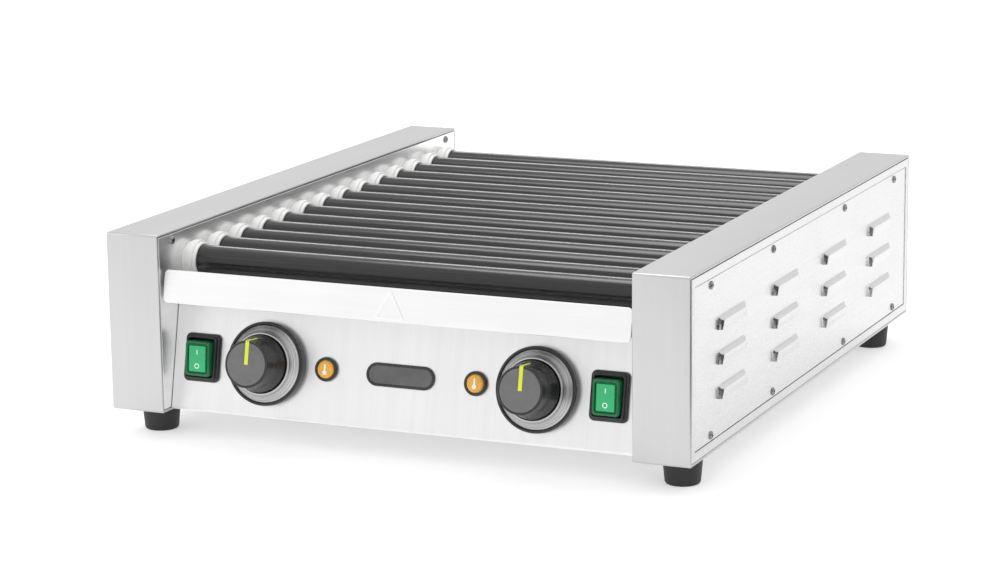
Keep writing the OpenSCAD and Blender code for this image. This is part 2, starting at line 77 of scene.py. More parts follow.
X_AXIS = Vector((1, 0, 0))
PANEL_OUT = -Vector(KNOB_TURN["axis"]).normalized()
PANEL_UP = PANEL_OUT.cross(X_AXIS)


# ---- Where things are ----


def reach(node, direction):
    """Lowest and highest place of a CAD node's points along a direction."""
    along = [v.co.dot(direction) for v in frame["nodes"][node].data.vertices]
    return min(along), max(along)


def middle(node):
    low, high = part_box(node)
    return (low + high) / 2


def panel_place(x, up, out=0.0):
    """A place on the control panel: local X to the right, Y up the slope, Z out of the panel."""
    surface = reach("badge", PANEL_OUT)[0]
    origin = X_AXIS * x + PANEL_UP * up + PANEL_OUT * (surface + out)
    place = Matrix((X_AXIS, PANEL_UP, PANEL_OUT)).transposed().to_4x4()
    place.translation = origin
    return place


def control_place(node, x=None):
    up = sum(reach("badge", PANEL_UP)) / 2
    return panel_place(middle(node).x if x is None else x, up)


def facing(out, up, origin):
    """A place whose local Z points out and whose local Y points up."""
    out, up = Vector(out), Vector(up)
    place = Matrix((up.cross(out), up, out)).transposed().to_4x4()
    place.translation = Vector(origin)
    return place


# ---- Making pieces ----


def new_piece(name, mesh, material, body="frame", place=None):
    """An object for a finished mesh, riding on a CAD body."""
    piece = bpy.data.objects.new(name, mesh)
    bpy.context.scene.collection.objects.link(piece)
    if place is not None:
        piece.matrix_world = place
    if material is not None:
        mesh.materials.clear()
        mesh.materials.append(material)
    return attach(piece, body)


def finished(name, mesh, material, slot, replaces=None, body="frame", place=None):
    """A new piece, standing in for a CAD node where one is named. The slot is not used."""
    piece = new_piece(name, mesh, material, body, place)
    if replaces:
        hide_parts(replaces)


def finish_mesh(bm, name, sharp_angle=32):
    """A mesh from bm, shaded smooth except across its sharp edges."""
    bmesh.ops.recalc_face_normals(bm, faces=bm.faces)
    sharp = math.radians(sharp_angle)
    for edge in bm.edges:
        if len(edge.link_faces) == 2 and edge.calc_face_angle() > sharp:
            edge.smooth = False
    for face in bm.faces:
        face.smooth = True
    mesh = bpy.data.meshes.new(name)
    bm.to_mesh(mesh)
    bm.free()
    return mesh


def filleted(corners, closed=True, steps=5):
    """An outline from corners (x, y, radius), with each corner rounded to its radius."""
    points = []
    count = len(corners)
    for i, (x, y, radius) in enumerate(corners):
        here = Vector((x, y))
        if radius <= 0 or (not closed and i in (0, count - 1)):
            points.append(here)
            continue
        back = Vector(corners[i - 1][:2]) - here
        ahead = Vector(corners[(i + 1) % count][:2]) - here
        half = back.angle(ahead) / 2
        cut = min(radius / math.tan(half), 0.49 * back.length, 0.49 * ahead.length)
        radius = cut * math.tan(half)
        back.normalize()
        ahead.normalize()
        centre = here + (back + ahead).normalized() * radius / math.sin(half)
        start = here + back * cut - centre
        end = here + ahead * cut - centre
        for s in range(steps + 1):
            points.append(centre + start.lerp(end, s / steps).normalized() * radius)
    return points


def rectangle(w, h, radius=0.0, centre=(0.0, 0.0), steps=5):
    cx, cy = centre
    corners = [(-1, -1), (1, -1), (1, 1), (-1, 1)]
    return filleted([(cx + sx * w / 2, cy + sy * h / 2, radius) for sx, sy in corners], steps=steps)


def profile(corners, closed=True, steps=5):
    """A filleted outline whose corners are in millimetres."""
    return filleted([(x * MM, y * MM, radius * MM) for x, y, radius in corners], closed, steps)


def lifted(height):
    """A place that many millimetres above the origin."""
    return Matrix.Translation((0, 0, height * MM))


def disc(radius, centre=(0.0, 0.0), steps=48):
    cx, cy = centre
    turns = [i * (2 * math.pi / steps) for i in range(steps)]
    return [Vector((cx + radius * math.cos(t), cy + radius * math.sin(t))) for t in turns]


def inset(loop, distance):
    """The loop moved to its left by a distance, with mitred corners."""
    moved = []
    for i, here in enumerate(loop):
        a = (here - loop[i - 1]).normalized()
        b = (loop[(i + 1) % len(loop)] - here).normalized()
        left_a, left_b = Vector((-a.y, a.x)), Vector((-b.y, b.x))
        moved.append(here + (left_a + left_b) * distance / (1 + left_a.dot(left_b)))
    return moved


def plate_mesh(name, outline, thickness, edge, holes=(), back_edge=0.0, place=None, rounds=3):
    """A closed sheet from an outline and its holes, standing on z = 0, with rounded rims."""
    loops = [list(outline)] + [list(reversed(hole)) for hole in holes]
    turns = [k / rounds * math.pi / 2 for k in range(rounds + 1)]
    levels = [(back_edge, 0.0)]
    if back_edge:
        levels = [(back_edge * (1 - math.sin(t)), back_edge * (1 - math.cos(t))) for t in turns]
    levels += [(edge * (1 - math.cos(t)), thickness - edge * (1 - math.sin(t))) for t in turns]
    bm = bmesh.new()
    ends = {}
    for loop in loops:
        rings = []
        for distance, z in levels:
            rings.append([bm.verts.new((p.x, p.y, z)) for p in inset(loop, distance)])
        for low, high in zip(rings, rings[1:]):
            for i in range(len(low)):
                j = (i + 1) % len(low)
                bm.faces.new((low[i], low[j], high[j], high[i]))
        ends.setdefault("bottom", []).append(rings[0])
        ends.setdefault("top", []).append(rings[-1])
    caps = []
    for rings in ends.values():
        verts = [v for ring in rings for v in ring]
        flat = [[v.co.xy.to_3d() for v in ring] for ring in rings]
        for triangle in tessellate_polygon(flat):
            caps.append(bm.faces.new([verts[i] for i in triangle]))
    flat_faces = set(caps)
    rims = dict.fromkeys(e for f in caps for e in f.edges)
    seams = [e for e in rims if len(e.link_faces) == 2 and flat_faces.issuperset(e.link_faces)]
    bmesh.ops.dissolve_limit(bm, angle_limit=math.radians(0.5), verts=[], edges=seams)
    bmesh.ops.recalc_face_normals(bm, faces=bm.faces)
    for face in bm.faces:
        if abs(face.normal.z) > 0.9999:
            for e in face.edges:
                e.smooth = False
    if place is not None:
        bm.transform(place)
    return finish_mesh(bm, name)


def turned_mesh(name, outline, steps=96):
    """A turned piece: the outline of (radius, height) points goes once round local Z."""
    bm = bmesh.new()
    rings = []
    for radius, height in outline:
        if radius < 1e-7:
            rings.append([bm.verts.new((0, 0, height))])
            continue
        angles = [2 * math.pi * i / steps for i in range(steps)]
        rings.append([bm.verts.new((radius * math.cos(a), radius * math.sin(a), height)) for a in angles])
    pairs = list(zip(rings, rings[1:]))
    if len(rings[0]) > 1:
        pairs.append((rings[-1], rings[0]))
    for a, b in pairs:
        for i in range(steps):
            j = (i + 1) % steps
            if len(a) == 1:
                bm.faces.new((a[0], b[j], b[i]))
            elif len(b) == 1:
                bm.faces.new((a[i], a[j], b[0]))
            else:
                bm.faces.new((a[i], a[j], b[j], b[i]))
    return finish_mesh(bm, name)


def gathered(name, meshes, places=(Matrix(),)):
    """One mesh from copies of several meshes, each copy put in each place."""
    bm = bmesh.new()
    materials = []
    for mesh in meshes:
        for place in places:
            start = len(bm.verts)
            first_face = len(bm.faces)
            bm.from_mesh(mesh)
            bm.verts.ensure_lookup_table()
            bm.faces.ensure_lookup_table()
            bmesh.ops.transform(bm, matrix=place, verts=bm.verts[start:])
            if place.determinant() < 0:
                bmesh.ops.reverse_faces(bm, faces=bm.faces[first_face:])
        materials += [m for m in mesh.materials if m not in materials]
    made = bpy.data.meshes.new(name)
    bm.to_mesh(made)
    bm.free()
    for material in materials:
        made.materials.append(material)
    return made


def cut_mesh(name, mesh, cutter):
    """The mesh with the cutter taken out of it."""
    block = bpy.data.objects.new(name + "_block", mesh)
    tool = bpy.data.objects.new(name + "_tool", cutter)
    for helper in (block, tool):
        bpy.context.scene.collection.objects.link(helper)
    cut = block.modifiers.new("Cut", "BOOLEAN")
    cut.operation = "DIFFERENCE"
    cut.solver = "EXACT"
    cut.object = tool
    bpy.context.view_layer.update()
    made = bpy.data.meshes.new_from_object(block.evaluated_get(bpy.context.evaluated_depsgraph_get()))
    made.name = name
    for helper in (block, tool):
        bpy.data.objects.remove(helper)
    return made


def softened_mesh(name, node, edge):
    """A copy of a CAD node's mesh with its flat faces made whole and its edges rounded."""
    bm = bmesh.new()
    bm.from_mesh(frame["nodes"][node].data)
    bmesh.ops.remove_doubles(bm, verts=bm.verts, dist=1e-6)
    bmesh.ops.dissolve_limit(bm, angle_limit=math.radians(1), verts=bm.verts, edges=bm.edges)
    limit = math.radians(40)
    rims = [e for e in bm.edges if len(e.link_faces) == 2 and e.calc_face_angle() > limit]
    bmesh.ops.bevel(bm, geom=rims, offset=edge, segments=2, affect="EDGES", clamp_overlap=True)
    return finish_mesh(bm, name, 30)


def recoat(node, material):
    """Gives a CAD node that stays in view its finished surface."""
    materials = frame["nodes"][node].data.materials
    materials.clear()
    materials.append(material)


def side_place(side):
    """Keeps a right-hand piece as it is, or mirrors it to the left."""
    return Matrix.Scale(-1 if side == "left" else 1, 4, X_AXIS)


# ---- Shader building ----


def add_node(tree, kind, values=None, **settings):
    node = tree.nodes.new("ShaderNode" + kind)
    for key, value in settings.items():
        setattr(node, key, value)
    for key, value in (values or {}).items():
        node.inputs[key].default_value = value
    return node


def new_group(name, inputs, outputs):
    """A shader node group with named sockets. Returns the tree, its input node and its output node."""
    tree = bpy.data.node_groups.new(name, "ShaderNodeTree")
    for socket, kind, default in inputs:
        made = tree.interface.new_socket(socket, in_out="INPUT", socket_type=kind)
        made.default_value = default
    for socket, kind in outputs:
        tree.interface.new_socket(socket, in_out="OUTPUT", socket_type=kind)
    return tree, tree.nodes.new("NodeGroupInput"), tree.nodes.new("NodeGroupOutput")


def stretched_noise(tree, source, factor, detail):
    """Noise whose scale along each axis comes from a vector socket."""
    coords = add_node(tree, "TexCoord")
    stretch = add_node(tree, "VectorMath", operation="MULTIPLY")
    grow = add_node(tree, "VectorMath", operation="SCALE")
    grow.inputs["Scale"].default_value = factor
    noise = add_node(tree, "TexNoise", {"Scale": 1.0, "Detail": detail, "Roughness": 0.6})
    tree.links.new(coords.outputs["Object"], stretch.inputs[0])
    tree.links.new(source, stretch.inputs[1])
    tree.links.new(stretch.outputs[0], grow.inputs[0])
    tree.links.new(grow.outputs[0], noise.inputs["Vector"])
    return noise.outputs["Fac"]


def spread(tree, value, low, high, to_low=0.0, to_high=1.0):
    remap = add_node(tree, "MapRange", {1: low, 2: high, 3: to_low, 4: to_high})
    tree.links.new(value, remap.inputs[0])
    return remap.outputs[0]


def sum_of(tree, a, b, operation="ADD"):
    node = add_node(tree, "Math", operation=operation)
    for i, value in enumerate((a, b)):
        if isinstance(value, (int, float)):
            node.inputs[i].default_value = value
        else:
            tree.links.new(value, node.inputs[i])
    return node.outputs[0]


def brushed_grain():
    """Streaks of a brushed sheet. Fineness is how many streaks a metre holds along each axis."""
    tree, into, out = new_group(
        "Brushed grain",
        [("Fineness", "NodeSocketVector", (2000.0, 20.0, 20.0))],
        [("Streak", "NodeSocketFloat"), ("Band", "NodeSocketFloat"), ("Height", "NodeSocketFloat")],
    )
    fine = spread(tree, stretched_noise(tree, into.outputs["Fineness"], 1.0, 3.0), 0.3, 0.7)
    broad = spread(tree, stretched_noise(tree, into.outputs["Fineness"], 0.07, 2.0), 0.3, 0.7)
    tree.links.new(fine, out.inputs["Streak"])
    tree.links.new(broad, out.inputs["Band"])
    tree.links.new(sum_of(tree, fine, broad), out.inputs["Height"])
    return tree


def handling_marks():
    """Faint clouds left by hands and cloths, a few centimetres across."""
    tree, into, out = new_group(
        "Handling marks",
        [("Per metre", "NodeSocketVector", (18.0, 18.0, 18.0))],
        [("Cloud", "NodeSocketFloat")],
    )
    cloud = spread(tree, stretched_noise(tree, into.outputs["Per metre"], 1.0, 4.0), 0.4, 0.72)
    tree.links.new(cloud, out.inputs["Cloud"])
    return tree


def moulded_grain():
    """The fine tooth of a moulded or sprayed surface."""
    tree, into, out = new_group(
        "Moulded grain",
        [("Per metre", "NodeSocketVector", (2500.0, 2500.0, 2500.0))],
        [("Height", "NodeSocketFloat"), ("Cloud", "NodeSocketFloat")],
    )
    tree.links.new(stretched_noise(tree, into.outputs["Per metre"], 1.0, 2.0), out.inputs["Height"])
    broad = spread(tree, stretched_noise(tree, into.outputs["Per metre"], 0.02, 3.0), 0.35, 0.7)
    tree.links.new(broad, out.inputs["Cloud"])
    return tree


def spun_rings():
    """Concentric turning marks about local Z. Pitch is the distance between rings."""
    tree, into, out = new_group(
        "Spun rings",
        [("Pitch", "NodeSocketFloat", 0.0006)],
        [("Ring", "NodeSocketFloat"), ("Height", "NodeSocketFloat")],
    )
    coords = add_node(tree, "TexCoord")
    flatten = add_node(tree, "VectorMath", {1: (1.0, 1.0, 0.0)}, operation="MULTIPLY")
    length = add_node(tree, "VectorMath", operation="LENGTH")
    tree.links.new(coords.outputs["Object"], flatten.inputs[0])
    tree.links.new(flatten.outputs[0], length.inputs[0])
    turns = sum_of(tree, length.outputs["Value"], into.outputs["Pitch"], "DIVIDE")
    noise = add_node(tree, "TexNoise", {"Scale": 1.0, "Detail": 2.0}, noise_dimensions="1D")
    tree.links.new(turns, noise.inputs["W"])
    ring = spread(tree, noise.outputs["Fac"], 0.3, 0.7)
    tree.links.new(ring, out.inputs["Ring"])
    tree.links.new(ring, out.inputs["Height"])
    return tree


GROUP_MAKERS = {
    "Brushed grain": brushed_grain,
    "Handling marks": handling_marks,
    "Moulded grain": moulded_grain,
    "Spun rings": spun_rings,
}


def place_group(tree, name, values):
    """Puts a shared effect in a material, building the group the first time."""
    node = add_node(tree, "Group")
    node.node_tree = bpy.data.node_groups.get(name) or GROUP_MAKERS[name]()
    for key, value in values.items():
        node.inputs[key].default_value = value
    return node


def start_material(name, **sockets):
    """A new material with a Principled shader, and its tree."""
    material = bpy.data.materials.new(name)
    material.use_nodes = True
    tree = material.node_tree
    tree.nodes.clear()
    shader = add_node(tree, "BsdfPrincipled")
    output = add_node(tree, "OutputMaterial")
    tree.links.new(shader.outputs["BSDF"], output.inputs["Surface"])
    for key, value in sockets.items():
        shader.inputs[key.replace("_", " ")].default_value = value
    material.diffuse_color = (*tuple(sockets.get("Base_Color", (0.8, 0.8, 0.8, 1.0)))[:3], 1.0)
    return material, tree, shader


def tint(tree, shader, colour, factor, darker, lighter=1.0):
    """Feeds Base Color with the colour, between darker and lighter shares of it."""
    mix = add_node(tree, "Mix", data_type="RGBA")
    mix.inputs["A"].default_value = (*[c * darker for c in colour], 1.0)
    mix.inputs["B"].default_value = (*[min(1.0, c * lighter) for c in colour], 1.0)
    tree.links.new(factor, mix.inputs["Factor"])
    tree.links.new(mix.outputs["Result"], shader.inputs["Base Color"])


def bump(tree, shader, height, depth):
    node = add_node(tree, "Bump", {"Strength": 1.0, "Distance": depth})
    tree.links.new(height, node.inputs["Height"])
    tree.links.new(node.outputs["Normal"], shader.inputs["Normal"])


# Colour, streaks a metre along each axis, roughness, then contrast and depth of the streaks. Colours and
# roughnesses given by name are settings of the steel. Strips and panel are brushed up and down, sides,
# walls and covers from front to back, rear panel and tray across.
METALS = {
    "strip_steel": ("housing_colour", (2600.0, 26.0, 26.0), "housing_roughness", 0.04, 1e-6),
    "side_steel": ("side_colour", (800.0, 22.0, 2600.0), "side_roughness", 0.08, 2e-6),
    # The walls beside the rollers take the sides' steel with its colour painted lighter, standing in for
    # light they don't get.
    "wall_steel": ("wall_colour", (800.0, 22.0, 2600.0), "side_roughness", 0.08, 2e-6),
    "cover_steel": ("cover_colour", (800.0, 20.0, 2400.0), "cover_roughness", 0.04, 8e-7),
    "panel_steel": ("panel_colour", (2200.0, 24.0, 24.0), "panel_roughness", 0.06, 2e-6),
    "rear_steel": ("side_colour", (24.0, 900.0, 2200.0), "panel_roughness", 0.06, 2e-6),
    "tray_steel": ("tray_colour", (24.0, 1800.0, 1800.0), "tray_roughness", 0.04, 2e-6),
    "plain_steel": ((0.55, 0.55, 0.55), (60.0, 900.0, 900.0), 0.4, 0.15, 2e-6),
    "screw_steel": ((0.30, 0.30, 0.30), (900.0, 900.0, 900.0), 0.2, 0.25, 2e-6),
    "chain_steel": ((0.34, 0.33, 0.32), (900.0, 900.0, 900.0), 0.34, 0.3, 2e-6),
    "element_sheath": ((0.36, 0.34, 0.32), (60.0, 700.0, 700.0), 0.45, 0.3, 2e-6),
    "zinc_plate": ((0.60, 0.62, 0.64), (300.0, 300.0, 300.0), 0.36, 0.2, 2e-6),
}

# Colour, roughness, teeth a metre, their depth, contrast, and other sockets. Colours given by name are
# settings of the controls.
PLASTICS = {
    "bush_white": ((0.84, 0.84, 0.83), 0.38, 2500.0, 6e-6, 0.05, {}),
    "black_plastic": ((0.018, 0.018, 0.019), 0.26, 2500.0, 2e-6, 0.2, {}),
    "satin_black": ((0.022, 0.022, 0.023), 0.4, 2500.0, 6e-6, 0.2, {}),
    "foot_rubber": ((0.014, 0.014, 0.015), 0.55, 1600.0, 2e-5, 0.25, {}),
    "motor_paint": ((0.22, 0.23, 0.24), 0.42, 1200.0, 1.5e-5, 0.12, {}),
    "mark_white": ((0.85, 0.85, 0.83), 0.4, 2500.0, 6e-6, 0.03, {}),
    "knob_grey": ("face_colour", 0.45, 3000.0, 5e-6, 0.12, {}),
    "pointer_yellow": ("pointer_colour", 0.4, 2500.0, 6e-6, 0.05, {}),
    "boot_green": ("boot_colour", 0.16, 500.0, 8e-6, 0.1, {"Transmission_Weight": 0.35, "IOR": 1.45}),
    "rocker_green": ("rocker_colour", 0.3, 900.0, 4e-6, 0.08, {}),
    "badge_grey": ("badge_colour", 0.24, 3000.0, 2e-6, 0.12, {}),
}


def metal(kind):
    """Brushed metal: streaks in tone, gloss and height, and faint handling marks."""
    name = f"{kind}_finish"
    if name in bpy.data.materials:
        return bpy.data.materials[name]
    colour, fineness, roughness, contrast, depth = METALS[kind]
    if isinstance(colour, str):
        colour, roughness = getattr(steel(), colour), getattr(steel(), roughness)
    material, tree, shader = start_material(name, Metallic=1.0, Base_Color=(*colour, 1.0))
    grain = place_group(tree, "Brushed grain", {"Fineness": fineness})
    marks = place_group(tree, "Handling marks", {})
    tone = sum_of(tree, sum_of(tree, grain.outputs["Streak"], 0.55, "MULTIPLY"),
                  sum_of(tree, grain.outputs["Band"], 0.45, "MULTIPLY"))
    tint(tree, shader, colour, tone, 1.0 - contrast, 1.0 + contrast / 2)
    gloss = spread(tree, grain.outputs["Streak"], 0.0, 1.0, roughness - 0.05, roughness + 0.07)
    smear = sum_of(tree, marks.outputs["Cloud"], 0.05, "MULTIPLY")
    tree.links.new(sum_of(tree, gloss, smear), shader.inputs["Roughness"])
    bump(tree, shader, grain.outputs["Height"], depth)
    return material


def plastic(kind):
    """Moulded plastic, rubber or paint: a fine tooth, and a slight change of tone and gloss over it."""
    name = f"{kind}_finish"
    if name in bpy.data.materials:
        return bpy.data.materials[name]
    colour, roughness, grain, depth, contrast, sockets = PLASTICS[kind]
    if isinstance(colour, str):
        colour = tuple(getattr(bpy.context.scene.grill_controls, colour))
    material, tree, shader = start_material(name, Base_Color=(*colour, 1.0), **sockets)
    tooth = place_group(tree, "Moulded grain", {"Per metre": (grain, grain, grain)})
    tint(tree, shader, colour, tooth.outputs["Cloud"], 1.0 - contrast, 1.0 + contrast)
    gloss = spread(tree, tooth.outputs["Cloud"], 0.0, 1.0, roughness - 0.04, roughness + 0.05)
    tree.links.new(gloss, shader.inputs["Roughness"])
    bump(tree, shader, tooth.outputs["Height"], depth)
    return material


def steel():
    return bpy.context.scene.grill_steel


def coating():
    """The dark non-stick coating of the rollers, with fine speckle and long wipe marks."""
    name = "roller_coating_finish"
    if name in bpy.data.materials:
        return bpy.data.materials[name]
    finish = bpy.context.scene.grill_rollers
    colour = tuple(finish.coating_colour)
    material, tree, shader = start_material(name, Base_Color=(*colour, 1.0), IOR=1.5)
    tooth = place_group(tree, "Moulded grain", {"Per metre": (1400.0, 1400.0, 1400.0)})
    wipes = place_group(tree, "Brushed grain", {"Fineness": (14.0, 500.0, 500.0)})
    tone = sum_of(tree, wipes.outputs["Streak"], wipes.outputs["Band"], "MULTIPLY")
    tint(tree, shader, colour, tone, 0.75, 1.6)
    gloss = spread(tree, wipes.outputs["Streak"], 0.0, 1.0, finish.coating_roughness - 0.05,
                   finish.coating_roughness + 0.08)
    tree.links.new(gloss, shader.inputs["Roughness"])
    bump(tree, shader, tooth.outputs["Height"], 1.2e-5)
    return material


def dial_silver():
    """Spun aluminium: concentric marks that stretch every highlight across them."""
    name = "dial_silver_finish"
    if name in bpy.data.materials:
        return bpy.data.materials[name]
    colour = tuple(bpy.context.scene.grill_controls.dial_colour)
    material, tree, shader = start_material(
        name, Base_Color=(*colour, 1.0), Metallic=1.0, Roughness=0.3, Anisotropic=0.85
    )
    rings = place_group(tree, "Spun rings", {"Pitch": 0.00045})
    coarse = place_group(tree, "Spun rings", {"Pitch": 0.0016})
    tone = sum_of(tree, sum_of(tree, rings.outputs["Ring"], 0.6, "MULTIPLY"),
                  sum_of(tree, coarse.outputs["Ring"], 0.4, "MULTIPLY"))
    tint(tree, shader, colour, tone, 0.45, 1.3)
    bump(tree, shader, rings.outputs["Height"], 2e-5)
    tangent = add_node(tree, "Tangent", direction_type="RADIAL", axis="Z")
    tree.links.new(tangent.outputs["Tangent"], shader.inputs["Tangent"])
    return material


# ---- Sizes and colours that a user may change ----


def colour_property(name, description, default):
    return FloatVectorProperty(name=name, description=description, default=default, min=0.0, max=1.0,
                               subtype="COLOR")


def share_property(name, description, default):
    return FloatProperty(name=name, description=description, default=default, min=0.0, max=1.0,
                         subtype="FACTOR")


def length_property(name, description, default):
    return FloatProperty(name=name, description=description, default=default, min=0.0, precision=4,
                         subtype="DISTANCE", unit="LENGTH")


class GrillSteel(bpy.types.PropertyGroup):
    """Sheet metal of the housings, covers, panels and tray."""

    housing_colour: colour_property("Housing colour", "Steel of the strips over the housings",
                                    (0.56, 0.56, 0.56))
    side_colour: colour_property("Side colour", "Steel of the housings' outer sides, rear panel and base",
                                 (0.67, 0.67, 0.67))
    # The sides' steel painted lighter, standing in for light that the walls beside the rollers don't get.
    wall_colour: colour_property("Wall colour", "Steel of the walls beside the rollers", (0.92, 0.92, 0.92))
    cover_colour: colour_property("Cover colour", "Steel of the louvred side covers", (0.66, 0.66, 0.66))
    panel_colour: colour_property("Panel colour", "Steel of the control panel", (0.80, 0.80, 0.80))
    tray_colour: colour_property("Tray colour", "Steel of the drip tray and its front", (0.86, 0.86, 0.86))
    housing_roughness: share_property("Housing roughness", "Dullness of the strips", 0.34)
    side_roughness: share_property("Side roughness", "Dullness of the housing sides", 0.30)
    cover_roughness: share_property("Cover roughness", "Dullness of the side covers", 0.24)
    panel_roughness: share_property("Panel roughness", "Dullness of the panels", 0.32)
    tray_roughness: share_property("Tray roughness", "Dullness of the tray", 0.36)
    sheet: length_property("Sheet", "Thickness of the sheet", 1.2 * MM)
    fold: length_property("Fold", "Width of the strip's folded rim", 2.4 * MM)
    bend: length_property("Bend", "Radius of the strip's bends at front and back", 2.0 * MM)
    seam: length_property("Seam", "Gap between two sheets", 0.45 * MM)
    frame_width: length_property("Frame width", "Steel left around each side cover", 10.0 * MM)


class GrillLouvres(bpy.types.PropertyGroup):
    """Louvres pressed in the side covers."""

    columns: IntProperty(name="Columns", description="Louvres from front to back", default=4, min=1, max=6)
    rows: IntProperty(name="Rows", description="Louvres from bottom to top", default=3, min=1, max=5)
    length: length_property("Length", "Length of a louvre", 66.0 * MM)
    height: length_property("Height", "Height of a louvre", 11.0 * MM)
    column_step: length_property("Column step", "Distance between columns", 132.5 * MM)
    row_step: length_property("Row step", "Distance between rows", 27.7 * MM)


class GrillRollers(bpy.types.PropertyGroup):
    """Rollers and their bushes."""

    coating_colour: colour_property("Coating colour", "Non-stick coating", (0.016, 0.016, 0.017))
    coating_roughness: share_property("Coating roughness", "Dullness of the coating", 0.19)


class GrillControls(bpy.types.PropertyGroup):
    """Knobs, dials, switches, lamps and badge."""

    face_colour: colour_property("Knob face colour", "Flat face of a knob", (0.13, 0.13, 0.13))
    pointer_colour: colour_property("Pointer colour", "Pointer line of a knob", (0.66, 0.74, 0.03))
    pointer_width: length_property("Pointer width", "Width of the pointer line", 3.2 * MM)
    dial_colour: colour_property("Dial colour", "Spun ring around a knob", (0.56, 0.56, 0.56))
    boot_colour: colour_property("Boot colour", "Clear green boot over a switch", (0.005, 0.22, 0.07))
    rocker_colour: colour_property("Rocker colour", "Green rocker under the boot", (0.02, 0.42, 0.15))
    lens_colour: colour_property("Lens colour", "Lens of a lamp", (0.85, 0.36, 0.03))
    badge_colour: colour_property("Badge colour", "Plate inside the badge's rim", (0.10, 0.10, 0.10))


class GrillStage(bpy.types.PropertyGroup):
    """Floor, lights and camera."""

    azimuth: FloatProperty(name="Azimuth", description="Camera's turn to the right of the front",
                           default=math.radians(23.99), subtype="ANGLE", unit="ROTATION")
    elevation: FloatProperty(name="Elevation", description="Camera's height above the horizon",
                             default=math.radians(12.22), subtype="ANGLE", unit="ROTATION")
    roll: FloatProperty(name="Roll", description="Camera's tilt to one side",
                        default=math.radians(-0.72), subtype="ANGLE", unit="ROTATION")
    distance: length_property("Distance", "Camera's distance from its target", 2.6485)
    target: FloatVectorProperty(name="Target", description="Point in the middle of the view",
                                default=(-0.0238, -0.0084, 0.0888), subtype="TRANSLATION", unit="LENGTH")
    lens: FloatProperty(name="Lens", description="Focal length, in millimetres on a 36 mm sensor",
                        default=108.44, unit="CAMERA")
    floor_size: length_property("Floor size", "Side of the square floor", 16.0)


# ---- Operators ----


class Step:
    """What the operators share."""

    bl_options = {"REGISTER", "UNDO"}


class GRILL_OT_stage(Step, bpy.types.Operator):
    """Lay the pale floor, set the soft lights and place the camera"""

    bl_idname = "grill.stage"
    bl_label = "Stage"

    def softbox(self, name, place, size, power, aim=(0.0, 0.0, 0.08)):
        light = bpy.data.lights.new(name, "AREA")
        light.shape = "RECTANGLE"
        light.size, light.size_y = size
        light.energy = power
        lamp = bpy.data.objects.new(name, light)
        bpy.context.scene.collection.objects.link(lamp)
        lamp.location = place
        lamp.rotation_euler = (Vector(aim) - Vector(place)).to_track_quat("-Z", "Y").to_euler()
        lamp.visible_camera = False
        return lamp

    def rollers_only(self, lamp):
        """Lets a light reach the rollers and nothing else, so that it draws a line along the top of each."""
        lit = bpy.data.collections.new(f"{lamp.name}_reach")
        for name in ROLLERS:
            lit.objects.link(frame["nodes"][name])
        lamp.light_linking.receiver_collection = lit

    def floor(self, size):
        mesh = bpy.data.meshes.new("floor")
        half = size / 2
        corners = [(-half, -half, 0), (half, -half, 0), (half, half, 0), (-half, half, 0)]
        mesh.from_pydata(corners, [], [(0, 1, 2, 3)])
        floor = bpy.data.objects.new("floor", mesh)
        bpy.context.scene.collection.objects.link(floor)
        white = (1.0, 1.0, 1.0, 1.0)
        material, *_ = start_material("floor_white", Base_Color=(0.80, 0.80, 0.80, 1.0), Roughness=0.7,
                                      Emission_Color=white, Emission_Strength=0.41, Specular_IOR_Level=0.2)
        mesh.materials.append(material)

    def dark_card(self, name, corners):
        """A black card to the front right of the grill, seen only in bright metal."""
        bm = bmesh.new()
        bm.faces.new([bm.verts.new(corner) for corner in corners])
        mesh = finish_mesh(bm, name)
        black = (0.0, 0.0, 0.0, 1.0)
        material, *_ = start_material(name, Base_Color=black, Roughness=1.0, Specular_IOR_Level=0.0)
        mesh.materials.append(material)
        card = bpy.data.objects.new(name, mesh)
        bpy.context.scene.collection.objects.link(card)
        card.visible_camera = False
        card.visible_diffuse = False
        card.visible_shadow = False

    def camera(self, stage):
        a, e = stage.azimuth, stage.elevation
        back = Vector((math.sin(a) * math.cos(e), -math.cos(a) * math.cos(e), math.sin(e)))
        data = bpy.data.cameras.new("camera")
        data.lens = stage.lens
        data.clip_end = 60.0
        camera = bpy.data.objects.new("camera", data)
        bpy.context.scene.collection.objects.link(camera)
        camera.location = Vector(stage.target) + back * stage.distance
        level = (-back).to_track_quat("-Z", "Y").to_matrix()
        camera.rotation_euler = (level @ Matrix.Rotation(stage.roll, 3, "Z")).to_euler()
        bpy.context.scene.camera = camera

    def sky(self):
        world = bpy.data.worlds.new("studio")
        world.use_nodes = True
        backdrop = world.node_tree.nodes["Background"]
        backdrop.inputs["Color"].default_value = (1.0, 1.0, 1.0, 1.0)
        backdrop.inputs["Strength"].default_value = 1.0
        bpy.context.scene.world = world

    def execute(self, context):
        scene = context.scene
        stage = scene.grill_stage
        scene.view_settings.view_transform = "Standard"
        self.floor(stage.floor_size)
        self.sky()
        self.softbox("top_softbox", (-0.33, 0.30, 1.6), (0.8, 0.6), 6.8)
        self.rollers_only(self.softbox("back_softbox", (-0.95, 2.0, 1.1), (1.3, 0.28), 5.5))
        self.softbox("left_softbox", (-2.2, -1.6, 1.3), (1.6, 1.4), 6.0)
        floor_corners = [(0.38, -0.9), (1.3, -0.9), (1.3, 0.3), (0.8, 0.15), (0.38, -0.36)]
        self.dark_card("floor_card", [(x, y, 0.002) for x, y in floor_corners])
        wall_corners = [(-0.9, 0.002), (0.15, 0.002), (0.15, 0.5), (-0.9, 0.5)]
        self.dark_card("wall_card", [(1.3, y, z) for y, z in wall_corners])
        self.camera(stage)
        return {"FINISHED"}


